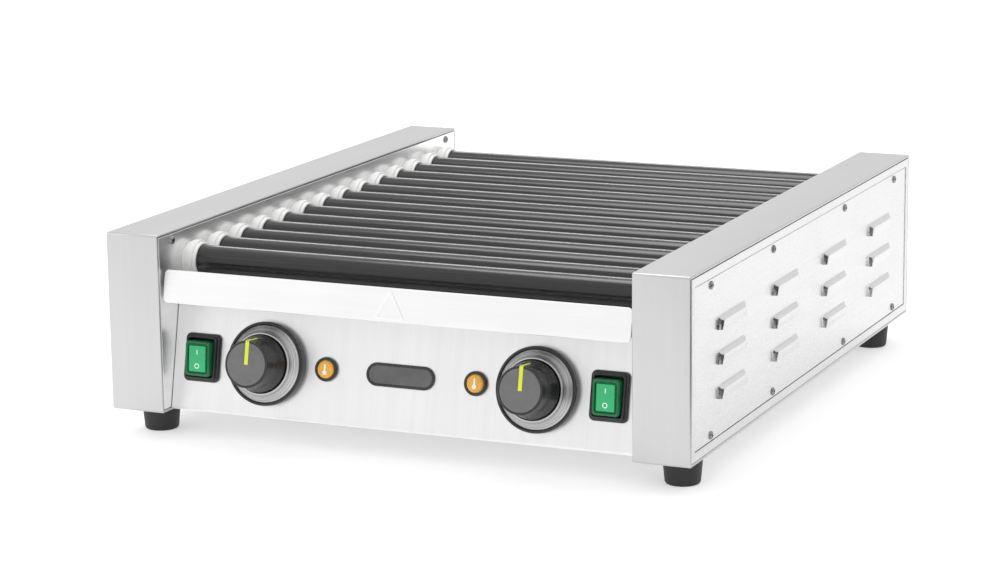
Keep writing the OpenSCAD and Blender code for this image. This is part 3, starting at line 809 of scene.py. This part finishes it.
class GRILL_OT_housings(Step, bpy.types.Operator):
    """Fold the two side housings: a strip over front, top and back, side frames and inner walls"""

    bl_idname = "grill.housings"
    bl_label = "Side housings"

    def upright(self, x):
        """A sheet's place across the grill: local Z to the right, Y up."""
        return facing((1, 0, 0), (0, 0, 1), (x, 0, 0))

    def side_sheet(self, corner, distance):
        """The outline of the housing seen from the side, smaller all round by a distance."""
        size = HOUSING_HIGH - HOUSING_LOW
        centre = (HOUSING_LOW + HOUSING_HIGH) / 2
        return rectangle(size.y - 2 * distance, size.z - 2 * distance, corner, (centre.y, centre.z))

    def execute(self, context):
        s = steel()
        width = HOUSING_HIGH.x - HOUSING_LOW.x
        at = self.upright(HOUSING_LOW.x)
        rim = 0.42 * s.fold
        outer, opening = self.side_sheet(s.bend, 0.0), self.side_sheet(0.0, s.fold)
        strip = plate_mesh("strip", outer, width, rim, [opening], back_edge=rim, place=at)
        strip.materials.append(metal("strip_steel"))
        inner = s.fold + s.seam
        side_at = self.upright(HOUSING_HIGH.x - s.sheet)
        side_frame = plate_mesh(
            "side_frame", self.side_sheet(0.4 * MM, inner), s.sheet, 0.35 * MM,
            [self.side_sheet(0.4 * MM, s.frame_width)], place=side_at
        )
        lip_at = self.upright(COVER_LOW.x - s.sheet - 0.05 * MM)
        lip = plate_mesh(
            "cover_lip", self.side_sheet(0.0, inner + 2 * MM), s.sheet, 0.2 * MM,
            [self.side_sheet(3 * MM, 2.1 * s.frame_width)], place=lip_at
        )
        bush_hole_r = 15.0 * MM
        holes = [disc(bush_hole_r, middle(name).yz) for name in ROLLERS]
        wall_at = self.upright(HOUSING_LOW.x + s.sheet) @ Matrix.Rotation(math.pi, 4, "Y")
        wall_outline = [Vector((-p.x, p.y)) for p in reversed(self.side_sheet(0.4 * MM, inner))]
        wall_holes = [[Vector((-p.x, p.y)) for p in reversed(hole)] for hole in holes]
        wall = plate_mesh("inner_wall", wall_outline, s.sheet, 0.35 * MM, wall_holes, place=wall_at)
        for mesh, kind in ((side_frame, "side_steel"), (lip, "side_steel"), (wall, "wall_steel")):
            mesh.materials.append(metal(kind))
        for side in SIDES:
            for mesh in (strip, side_frame, lip, wall):
                shell = gathered(f"{side}_housing_{mesh.name}", [mesh], [side_place(side)])
                name = f"{side}_housing_{mesh.name.split('.')[0]}"
                finished(name, shell, None, "housing_steel", f"{side}_housing")
        return {"FINISHED"}


class GRILL_OT_side_covers(Step, bpy.types.Operator):
    """Press the louvred side covers"""

    bl_idname = "grill.side_covers"
    bl_label = "Side covers"

    def spaced(self, centre, count, step):
        return [centre + (i - (count - 1) / 2) * step for i in range(count)]

    def steps_along(self, low, high, centres, half, inner):
        """Grid lines from low to high, closer together over each louvre, with one just outside it."""
        lines = {round(low, 7), round(high, 7)}
        for centre in centres:
            lines |= {round(centre + offset * half, 7) for offset in inner}
            lines |= {round(centre + way * (half + 0.5 * MM), 7) for way in (-1, 1)}
        return sorted(lines)

    def execute(self, context):
        louvres = context.scene.grill_louvres
        s = steel()
        centre = (HOUSING_LOW + HOUSING_HIGH) / 2
        middle_y = centre.y + 3 * MM
        middle_z = centre.z - 1.7 * MM
        columns = self.spaced(middle_y, louvres.columns, louvres.column_step)
        rows = self.spaced(middle_z, louvres.rows, louvres.row_step)
        a, b = louvres.length / 2, louvres.height / 2
        stand = COVER_HIGH.x - COVER_LOW.x - s.sheet
        face_x = COVER_LOW.x + s.sheet
        front_end = [-1.0 + 0.24 * (k / 10) ** 1.3 for k in range(11)]
        rear_end = [1.0 - 0.5 * (k / 8) ** 1.3 for k in range(9)]
        across = sorted({*front_end, *rear_end, -0.5, -0.1, 0.25})
        upward = [-1.0, -0.8, -0.55, -0.3, -0.05, 0.15, 0.32, 0.46, 0.58, 0.69, 0.79, 0.88, 0.95, 1.0]
        lines_y = self.steps_along(COVER_LOW.y, COVER_HIGH.y, columns, a, across)
        lines_z = self.steps_along(COVER_LOW.z, COVER_HIGH.z, rows, b, upward)

        def pressed(y, z):
            """How far the cover stands out at a point, and whether that is on a louvre's slit."""
            for cy in columns:
                for cz in rows:
                    u, w = y - cy, z - cz
                    if abs(u) > a - 1e-6 or w > b - 1e-6 or w < -b - 1e-6:
                        continue
                    fall = (b - w) / (2 * b)
                    crest = 0.36
                    crown = math.sin(min(1.0, fall / crest) * math.pi / 2)
                    crown *= 1 - 0.4 * max(0.0, fall - crest) ** 1.5
                    steep = min(1.0, (a + u) / (2.4 * MM + 4.5 * MM * (1 - fall)))
                    gentle = min(1.0, (a - u) / (9.0 * MM + 6.0 * MM * (1 - fall)))
                    ends = math.sin(steep * math.pi / 2) * (0.5 - 0.5 * math.cos(gentle * math.pi))
                    return stand * crown * ends, w < -b + 1e-6
            return 0.0, False

        bm = bmesh.new()
        upper, lower = {}, {}
        for y in lines_y:
            for z in lines_z:
                out, slit = pressed(y, z)
                upper[y, z] = bm.verts.new((face_x + out, y, z))
                lower[y, z] = bm.verts.new((face_x, y, z)) if slit else upper[y, z]
        for y0, y1 in zip(lines_y, lines_y[1:]):
            for z0, z1 in zip(lines_z, lines_z[1:]):
                bm.faces.new((upper[y0, z0], upper[y1, z0], lower[y1, z1], lower[y0, z1]))
        mesh = bpy.data.meshes.new("louvred_sheet")
        for face in bm.faces:
            face.smooth = True
        for edge in bm.edges:
            edge.smooth = not edge.is_boundary
        bm.to_mesh(mesh)
        bm.free()
        mesh.materials.append(metal("cover_steel"))
        for side in SIDES:
            sheet = gathered(f"{side}_side_cover_sheet", [mesh], [side_place(side)])
            piece = new_piece(f"{side}_side_cover_sheet", sheet, None)
            thicken = piece.modifiers.new("Sheet", "SOLIDIFY")
            thicken.thickness = s.sheet
            thicken.offset = -1.0
            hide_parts(f"{side}_side_cover")
        return {"FINISHED"}


class GRILL_OT_screws(Step, bpy.types.Operator):
    """Set the cross-head screws of the covers, the housings and the feet"""

    bl_idname = "grill.screws"
    bl_label = "Screws"

    def pan_screw(self, name, head_r, head_h, shank_r, shank_len):
        """A domed head with a cross recess, standing on z = 0, its shank below."""
        dome = [(head_r * math.cos(t), head_h * (0.25 + 0.75 * math.sin(t))) for t in
                [k / 8 * math.pi / 2 for k in range(9)]]
        outline = [(0.0, -shank_len), (shank_r, -shank_len), (shank_r, 0.0), (head_r * 0.97, 0.0), *dome]
        outline[-1] = (0.0, head_h)
        head = turned_mesh(name, outline, steps=32)
        bars = []
        for turn in (0.0, math.pi / 2):
            bar = rectangle(head_r * 1.15, head_r * 0.27, 0.0)
            place = Matrix.Rotation(turn, 4, "Z") @ Matrix.Translation((0, 0, head_h * 0.3))
            bars.append(plate_mesh("bar", bar, head_h, 0.0, place=place, rounds=1))
        made = cut_mesh(name, cut_mesh(name, head, bars[0]), bars[1])
        made.set_sharp_from_angle(angle=math.radians(35))
        return made

    def islands(self, node):
        """The lowest and highest corner of each screw in a CAD node that holds several."""
        bm = bmesh.new()
        bm.from_mesh(frame["nodes"][node].data)
        bmesh.ops.remove_doubles(bm, verts=bm.verts, dist=1e-6)
        left = set(bm.verts)
        boxes = []
        while left:
            stack = [left.pop()]
            seen = []
            while stack:
                vert = stack.pop()
                seen.append(vert.co.copy())
                for edge in vert.link_edges:
                    other = edge.other_vert(vert)
                    if other in left:
                        left.remove(other)
                        stack.append(other)
            low = Vector([min(p[i] for p in seen) for i in range(3)])
            high = Vector([max(p[i] for p in seen) for i in range(3)])
            boxes.append((low, high))
        bm.free()
        return sorted(boxes, key=lambda box: [round(c, 6) for c in box[0]])

    def execute(self, context):
        # Radius and height of the head, radius and length of the shank, and the first screw's turn
        sizes = {
            "cover_screws": (3.4, 1.7, 1.5, 7.0, 0.5),
            "housing_screws": (3.6, 1.9, 1.9, 8.0, 0.9),
            "foot_screws": (5.0, 3.0, 2.5, 14.0, 0.3),
        }
        for node, (*lengths, turn) in sizes.items():
            lengths = [length * MM for length in lengths]
            screw = self.pan_screw(node[:-1], *lengths)
            head_h = lengths[1]
            places = []
            for i, (low, high) in enumerate(self.islands(node)):
                centre = (low + high) / 2
                side = math.copysign(1.0, centre.x)
                spin = Matrix.Rotation(turn + 1.3 * i, 4, "Z")
                if node == "foot_screws":
                    at = facing((0, 0, -1), (0, 1, 0), (centre.x, centre.y, low.z + head_h))
                elif node == "cover_screws":
                    seat = high.x - head_h if side > 0 else low.x + head_h
                    at = facing((side, 0, 0), (0, 0, 1), (seat, centre.y, centre.z))
                else:
                    seat = low.x + head_h if side > 0 else high.x - head_h
                    at = facing((-side, 0, 0), (0, 0, 1), (seat, centre.y, centre.z))
                places.append(at @ spin)
            screws = gathered(node, [screw], places)
            finished(f"{node}_set", screws, metal("screw_steel"), "screw_steel", node)
        return {"FINISHED"}


class GRILL_OT_panels(Step, bpy.types.Operator):
    """Finish the control panel, rear panel, base plate, tray rails and brackets"""

    bl_idname = "grill.panels"
    bl_label = "Panels and brackets"

    def execute(self, context):
        for node, edge, kind, slot in (
            ("front_panel", 0.45, "panel_steel", "panel_steel"),
            ("rear_panel", 0.4, "rear_steel", "panel_steel"),
            ("base_plate", 0.4, "rear_steel", "panel_steel"),
            ("left_tray_rail", 0.3, "plain_steel", "bracket_steel"),
            ("right_tray_rail", 0.3, "plain_steel", "bracket_steel"),
            ("left_element_bar", 0.25, "plain_steel", "bracket_steel"),
            ("right_element_bar", 0.25, "plain_steel", "bracket_steel"),
            ("motor_bracket", 0.4, "plain_steel", "bracket_steel"),
        ):
            name = f"{node}_sheet"
            finished(name, softened_mesh(name, node, edge * MM), metal(kind), slot, node)
        return {"FINISHED"}


class GRILL_OT_tray(Step, bpy.types.Operator):
    """Finish the drip tray and its front plate with the embossed triangle"""

    bl_idname = "grill.tray"
    bl_label = "Drip tray"

    def execute(self, context):
        pan = softened_mesh("drip_tray_sheet", "drip_tray", 0.35 * MM)
        finished("drip_tray_sheet", pan, metal("tray_steel"), "tray_steel", "drip_tray", "tray")
        s = steel()
        low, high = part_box("tray_front")
        pan_low, pan_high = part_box("drip_tray")
        out_high = reach("tray_front", PANEL_OUT)[1] - 0.5 * MM
        up_low = PANEL_UP.z * low.z + PANEL_UP.y * low.y
        lip_h = reach("tray_front", PANEL_UP)[1] - up_low
        surface = reach("badge", PANEL_OUT)[0]
        at = panel_place(0.0, up_low + lip_h / 2, out_high - surface)
        back = at @ Matrix.Translation((0, 0, -s.sheet))
        lip_outline = rectangle(high.x - low.x, lip_h, 4 * MM)
        lip = plate_mesh("lip", lip_outline, s.sheet, 0.5 * MM, back_edge=0.4 * MM, place=back)
        centre = (0.0, (pan_low.y + low.y + s.sheet) / 2)
        shelf_outline = rectangle(pan_high.x * 2, pan_low.y - low.y - s.sheet, 0.0, centre)
        shelf = plate_mesh("shelf", shelf_outline, s.sheet, 0.2 * MM, place=Matrix.Translation((0, 0, low.z)))
        half_w, h = 14.0, 24.5
        outer = profile([(-half_w, 0, 1.6), (half_w, 0, 1.6), (0, h, 1.6)])
        inner = profile([(-half_w + 4.1, 2.2, 0.5), (half_w - 4.1, 2.2, 0.5), (0, h - 4.6, 0.5)])
        mark_at = at @ Matrix.Translation((0, (0.3 - h / 2) * MM, -0.05 * MM))
        mark = plate_mesh("mark", outer, 0.55 * MM, 0.5 * MM, [inner], place=mark_at, rounds=4)
        front = gathered("tray_front_plate", [lip, shelf, mark])
        finished("tray_front_plate", front, metal("tray_steel"), "tray_steel", "tray_front", "tray")
        return {"FINISHED"}


class GRILL_OT_rollers(Step, bpy.types.Operator):
    """Coat the fourteen rollers"""

    bl_idname = "grill.rollers"
    bl_label = "Rollers"

    def execute(self, context):
        for name in ROLLERS:
            recoat(name, coating())
        return {"FINISHED"}


class GRILL_OT_bushes(Step, bpy.types.Operator):
    """Turn the stepped white bushes"""

    bl_idname = "grill.bushes"
    bl_label = "Bushes"

    def execute(self, context):
        outline = profile([
            (12.75, -4.0, 0.0), (14.6, -4.0, 0.4), (14.6, -0.1, 0.0), (14.9, -0.1, 0.0), (14.9, 4.0, 0.2),
            (16.5, 4.0, 0.5), (16.5, 9.6, 1.4), (15.1, 9.6, 0.3), (14.9, 9.2, 0.2), (14.9, 12.6, 0.9),
            (12.75, 12.6, 0.5),
        ])
        bush = turned_mesh("bush", outline, steps=72)
        for side in SIDES:
            sign = -1 if side == "left" else 1
            places = []
            for name in ROLLERS:
                axis = middle(name)
                places.append(facing((-sign, 0, 0), (0, 0, 1), (sign * HOUSING_LOW.x, axis.y, axis.z)))
            row = gathered(f"{side}_bush_row", [bush], places)
            finished(f"{side}_bush_row", row, plastic("bush_white"), "bush_white", f"{side}_bushes")
        return {"FINISHED"}


class GRILL_OT_drive(Step, bpy.types.Operator):
    """Finish the chains, the sprocket, the motor, the elements and the thermostats"""

    bl_idname = "grill.drive"
    bl_label = "Drive and heating"

    def execute(self, context):
        chain, sheath, zinc = [metal(kind) for kind in ("chain_steel", "element_sheath", "zinc_plate")]
        finishes = {
            "roller_chain": chain, "motor_chain": chain, "motor_sprocket": chain, "motor_shaft": zinc,
            "gear_motor": plastic("motor_paint"), "front_heating_elements": sheath,
            "rear_heating_elements": sheath, "left_thermostat": zinc, "right_thermostat": zinc,
            "left_spindle": zinc, "right_spindle": zinc,
        }
        for name, material in finishes.items():
            recoat(name, material)
        return {"FINISHED"}


class GRILL_OT_knobs(Step, bpy.types.Operator):
    """Mould the knobs, with their grey faces and pointer lines"""

    bl_idname = "grill.knobs"
    bl_label = "Knobs"

    def execute(self, context):
        skin = profile([
            (3.02, 3.0, 0.0), (23.3, 3.0, 0.6), (23.3, 16.0, 3.5), (20.6, 24.0, 18.0), (19.3, KNOB_TOP, 1.5),
            (17.5, KNOB_TOP, 0.0), (17.4, KNOB_TOP - 0.35, 0.0), (0.0, KNOB_TOP - 0.35, 0.0),
        ], closed=False, steps=7)
        outline = [Vector((0.0, 18.0 * MM)), Vector((3.02 * MM, 18.0 * MM)), *skin]
        face_outline = profile([
            (0.0, KNOB_TOP - 0.5, 0.0), (17.3, KNOB_TOP - 0.5, 0.0), (17.3, KNOB_TOP - 0.08, 0.0),
            (17.1, KNOB_TOP, 0.0), (0.0, KNOB_TOP, 0.0),
        ])
        for side in SIDES:
            name = f"{side}_knob"
            turning = {"body": f"{side}_thermostat_knob", "place": control_place(name)}
            skirt = turned_mesh(f"{name}_body", outline, steps=128)
            finished(f"{name}_body", skirt, plastic("black_plastic"), "knob_black", name, **turning)
            face = turned_mesh(f"{name}_face", face_outline, steps=96)
            finished(f"{name}_face", face, plastic("knob_grey"), "knob_black", **turning)
            pointer = self.pointer(f"{name}_pointer", context.scene.grill_controls.pointer_width)
            finished(f"{name}_pointer", pointer, plastic("pointer_yellow"), "knob_black", **turning)
        return {"FINISHED"}

    def pointer(self, name, width):
        """A raised line from the middle of the face, over the rim and down the knob's side."""
        path = profile([(1.0, KNOB_TOP, 0.0), (19.3, KNOB_TOP, 1.5), (20.45, 26.0, 0.0), (21.2, 22.0, 0.0)],
                       closed=False)
        path = [Vector((-0.3 * MM, KNOB_TOP * MM))] + path
        bm = bmesh.new()
        rows = []
        count = len(path)
        for i, point in enumerate(path):
            ahead = (path[min(i + 1, count - 1)] - path[max(i - 1, 0)]).normalized()
            normal = Vector((-ahead.y, ahead.x))
            high = point + normal * 0.18 * MM
            low = point - normal * 0.5 * MM
            half = width / 2 * (1.0 if i < count - 1 else 0.7)
            ring = ((-half, low), (-half, high), (half, high), (half, low))
            rows.append([bm.verts.new((x, p.x, p.y)) for x, p in ring])
        for a, b in zip(rows, rows[1:]):
            for i in range(4):
                j = (i + 1) % 4
                bm.faces.new((a[i], a[j], b[j], b[i]))
        bm.faces.new(rows[0])
        bm.faces.new(rows[-1])
        return finish_mesh(bm, name)


class GRILL_OT_dials(Step, bpy.types.Operator):
    """Mould the bezels and spin the dial rings around the knobs"""

    bl_idname = "grill.dials"
    bl_label = "Dials"

    def execute(self, context):
        bezel = profile([
            (6.0, 0.0, 0.0), (34.5, 0.0, 0.3), (34.5, 7.0, 1.6), (32.3, 7.0, 0.4), (32.2, 2.0, 0.0),
            (6.0, 2.0, 0.0),
        ])
        ring = profile([
            (24.2, 2.05, 0.0), (32.0, 2.05, 0.0), (32.0, 6.6, 0.6), (28.4, 10.1, 0.3), (28.2, 10.0, 0.2),
            (26.2, 12.2, 0.2), (26.0, 13.2, 0.4), (25.2, 14.0, 0.4), (24.2, 14.0, 0.3),
        ])
        for side in SIDES:
            place = control_place(f"{side}_knob")
            for name, outline, steps, material, slot, node in (
                (f"{side}_bezel", bezel, 128, plastic("black_plastic"), "bezel_black", f"{side}_knob_bezel"),
                (f"{side}_dial", ring, 160, dial_silver(), "dial_silver", f"{side}_dial_ring"),
            ):
                finished(name, turned_mesh(name, outline, steps=steps), material, slot, node, place=place)
        return {"FINISHED"}


class GRILL_OT_switches(Step, bpy.types.Operator):
    """Build the rocker switches with their green boots"""

    bl_idname = "grill.switches"
    bl_label = "Rocker switches"

    def execute(self, context):
        well = rectangle(24.2 * MM, 31.6 * MM, 1.5 * MM)
        base_outline = rectangle(32.4 * MM, 40 * MM, 4.5 * MM, steps=8)
        base = plate_mesh("base", base_outline, 3.2 * MM, 1.8 * MM, [well], rounds=6)
        collar_outline = rectangle(28.2 * MM, 35.4 * MM, 3.2 * MM, steps=8)
        collar = plate_mesh("collar", collar_outline, 6.0 * MM, 1.0 * MM, [well], rounds=5)
        can_outline = rectangle(27 * MM, 33 * MM, 0.8 * MM)
        can = plate_mesh("can", can_outline, 24.3 * MM, 0.0, place=lifted(-24.2), rounds=1)
        can = cut_mesh("can", can, plate_mesh("pit", well, 12 * MM, 0.0, place=lifted(-8), rounds=1))
        boot_outline = rectangle(23 * MM, 29 * MM, 3.0 * MM, steps=8)
        window = rectangle(17.6 * MM, 23.6 * MM, 1.6 * MM)
        tip = math.radians(6.0)
        for side in SIDES:
            place = control_place(f"{side}_switch_body")
            body = f"{side}_switch_rocker"
            tipped = place @ lifted(2) @ Matrix.Rotation(tip, 4, "X")
            housing = gathered(f"{side}_switch_housing", [base, collar, can])
            finished(f"{side}_switch_housing", housing, plastic("satin_black"), "switch_black",
                     f"{side}_switch_body", place=place)
            skin = plate_mesh("skin", boot_outline, 10.9 * MM, 1.7 * MM, [window], rounds=6)
            floor = plate_mesh("floor", rectangle(18.4 * MM, 24.4 * MM, 1.2 * MM), 8.9 * MM, 0.0, rounds=1)
            boot = gathered(f"{side}_boot", [skin, floor], [lifted(-2)])
            finished(f"{side}_boot", boot, plastic("boot_green"), "rocker_green", f"{side}_rocker", body,
                     tipped)
            key = plate_mesh("key", rectangle(15.6 * MM, 21.6 * MM, 0.9 * MM), 3.0 * MM, 0.6 * MM, rounds=4)
            finished(f"{side}_rocker_key", key, plastic("rocker_green"), "rocker_green", body=body,
                     place=tipped @ lifted(6.0))
            one_outline = rectangle(0.8 * MM, 3.8 * MM, 0.3 * MM, (0.0, 5.4 * MM))
            one = plate_mesh("one", one_outline, 0.25 * MM, 0.1 * MM)
            nought_at = (0.0, -6.0 * MM)
            nought = plate_mesh("nought", disc(2.2 * MM, nought_at, 32), 0.25 * MM, 0.1 * MM,
                                [disc(1.45 * MM, nought_at, 32)])
            marks = gathered(f"{side}_marks", [one, nought])
            finished(f"{side}_rocker_marks", marks, plastic("mark_white"), "rocker_green", body=body,
                     place=tipped @ lifted(8.95))
        return {"FINISHED"}


class GRILL_OT_lamps(Step, bpy.types.Operator):
    """Fit the two amber lamps"""

    bl_idname = "grill.lamps"
    bl_label = "Lamps"

    def lens_material(self, colour):
        material, tree, shader = start_material("lens_amber_finish", Base_Color=(*colour, 1.0),
                                                Roughness=0.14, IOR=1.49, Coat_Weight=0.4)
        facet_bumps_and_glints = place_group(tree, "Moulded grain", {"Per metre": (700.0, 700.0, 700.0)})
        # The amber goes lighter on the facets' crowns and darker in their hollows: painted glints and shade,
        # over the real bump of the facets.
        tint(tree, shader, tuple(colour), facet_bumps_and_glints.outputs["Height"], 0.55, 1.5)
        bump(tree, shader, facet_bumps_and_glints.outputs["Height"], 1.5e-4)
        return material

    def execute(self, context):
        rim = profile([
            (0.0, -22.0, 0.0), (8.0, -22.0, 0.3), (8.0, 0.0, 0.0), (LAMP_R, 0.0, 0.0), (LAMP_R, 3.0, 2.2),
            (7.65, 3.0, 0.4), (7.65, -6.0, 0.0), (0.0, -6.0, 0.0),
        ], closed=False, steps=6)
        lens = profile([
            (0.0, -5.9, 0.0), (7.6, -5.9, 0.0), (7.6, 2.4, 0.4), (6.4, 4.0, 1.5), (0.0, 4.4, 0.0),
        ], closed=False, steps=6)
        lamp_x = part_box("lamp_bodies")[1].x - LAMP_R * MM
        places = [control_place("lamp_bodies", way * lamp_x) for way in (-1, 1)]
        rims = gathered("lamp_rims", [turned_mesh("rim", rim, steps=64)], places)
        finished("lamp_rims", rims, plastic("black_plastic"), "lamp_black", "lamp_bodies")
        caps = gathered("lamp_caps", [turned_mesh("lens", lens, steps=64)], places)
        amber = self.lens_material(context.scene.grill_controls.lens_colour)
        finished("lamp_caps", caps, amber, "lens_amber", "lamp_lenses")
        stem_outline = rectangle(1.5 * MM, 6.4 * MM, 0.7 * MM, (0.0, 1.1 * MM))
        stem = plate_mesh("stem", stem_outline, 0.2 * MM, 0.08 * MM)
        bulb = plate_mesh("bulb", disc(1.9 * MM, (0.0, -2.6 * MM), 32), 0.25 * MM, 0.08 * MM)
        marks = gathered("lamp_marks", [stem, bulb], [p @ lifted(4.25) for p in places])
        finished("lamp_marks", marks, plastic("mark_white"), "lens_amber")
        return {"FINISHED"}


class GRILL_OT_badge(Step, bpy.types.Operator):
    """Fit the blank pill-shaped badge"""

    bl_idname = "grill.badge"
    bl_label = "Badge"

    def execute(self, context):
        low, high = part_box("badge")
        w = high.x - low.x
        up_low, up_high = reach("badge", PANEL_UP)
        h = up_high - up_low
        rim_w = 2.3 * MM
        lap = 0.4 * MM
        place = control_place("badge")
        hole = rectangle(w - 2 * rim_w, h - 2 * rim_w, h / 2 - rim_w - 0.01 * MM, steps=20)
        rim_outline = rectangle(w, h, h / 2 - 0.01 * MM, steps=20)
        rim = plate_mesh("badge_rim", rim_outline, 2.0 * MM, 0.9 * MM, [hole], rounds=5)
        face_r = h / 2 - rim_w + 0.18 * MM
        face_outline = rectangle(w - 2 * rim_w + lap, h - 2 * rim_w + lap, face_r, steps=20)
        face = plate_mesh("badge_plate", face_outline, 1.25 * MM, 0.1 * MM)
        finished("badge_rim", rim, plastic("black_plastic"), "badge_grey", "badge", place=place)
        finished("badge_plate", face, plastic("badge_grey"), "badge_grey", place=place)
        return {"FINISHED"}


class GRILL_OT_feet(Step, bpy.types.Operator):
    """Mould the four rubber feet"""

    bl_idname = "grill.feet"
    bl_label = "Feet"

    def execute(self, context):
        low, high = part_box("feet")
        top = high.z / MM
        outline = profile([
            (2.6, top, 0.0), (2.6, 18.9, 0.0), (6.2, 18.9, 0.0), (6.2, 0.0, 0.5), (13.2, 0.0, 0.9),
            (14.3, 1.6, 1.0), (16.3, top - 1.2, 0.3), (FOOT_R, top - 0.8, 0.2), (FOOT_R, top, 0.2),
        ])
        foot = turned_mesh("foot", outline, steps=72)
        r = FOOT_R * MM
        corners = [(x, y, 0.0) for x in (low.x + r, high.x - r) for y in (low.y + r, high.y - r)]
        feet = gathered("rubber_feet", [foot], [Matrix.Translation(corner) for corner in corners])
        finished("rubber_feet", feet, plastic("foot_rubber"), "foot_rubber", "feet")
        return {"FINISHED"}


class GRILL_OT_inlet(Step, bpy.types.Operator):
    """Finish the cord inlet gland and the terminal block behind it"""

    bl_idname = "grill.inlet"
    bl_label = "Cord inlet"

    def execute(self, context):
        gland = softened_mesh("cord_gland", "cable_gland", 0.4 * MM)
        finished("cord_gland", gland, plastic("satin_black"), "switch_black", "cable_gland")
        block = softened_mesh("terminals", "terminal_block", 0.4 * MM)
        finished("terminals", block, plastic("bush_white"), "terminal_white", "terminal_block")
        return {"FINISHED"}


STEPS = (
    GRILL_OT_stage, GRILL_OT_housings, GRILL_OT_side_covers, GRILL_OT_screws, GRILL_OT_panels, GRILL_OT_tray,
    GRILL_OT_rollers, GRILL_OT_bushes, GRILL_OT_drive, GRILL_OT_knobs, GRILL_OT_dials, GRILL_OT_switches,
    GRILL_OT_lamps, GRILL_OT_badge, GRILL_OT_feet, GRILL_OT_inlet,
)


class GRILL_PT_sidebar(bpy.types.Panel):
    """The grill's pieces and settings"""

    bl_idname = "GRILL_PT_sidebar"
    bl_label = "Roller Grill"
    bl_space_type = "VIEW_3D"
    bl_region_type = "UI"
    bl_category = "Roller Grill"

    def draw(self, context):
        for settings in SETTINGS:
            group = getattr(context.scene, settings)
            box = self.layout.box()
            for name in group.__annotations__:
                box.prop(group, name)
        for step in STEPS:
            self.layout.operator(step.bl_idname)


SETTINGS = {
    "grill_steel": GrillSteel,
    "grill_louvres": GrillLouvres,
    "grill_rollers": GrillRollers,
    "grill_controls": GrillControls,
    "grill_stage": GrillStage,
}
CLASSES = (*SETTINGS.values(), *STEPS, GRILL_PT_sidebar)


def register():
    for cls in CLASSES:
        bpy.utils.register_class(cls)
    for name, group in SETTINGS.items():
        setattr(bpy.types.Scene, name, PointerProperty(type=group))


def unregister():
    for name in SETTINGS:
        delattr(bpy.types.Scene, name)
    for cls in reversed(CLASSES):
        bpy.utils.unregister_class(cls)


def main():
    register()
    for step in STEPS:
        prefix, name = step.bl_idname.split(".")
        getattr(getattr(bpy.ops, prefix), name)()


if __name__ == "__main__":
    main()
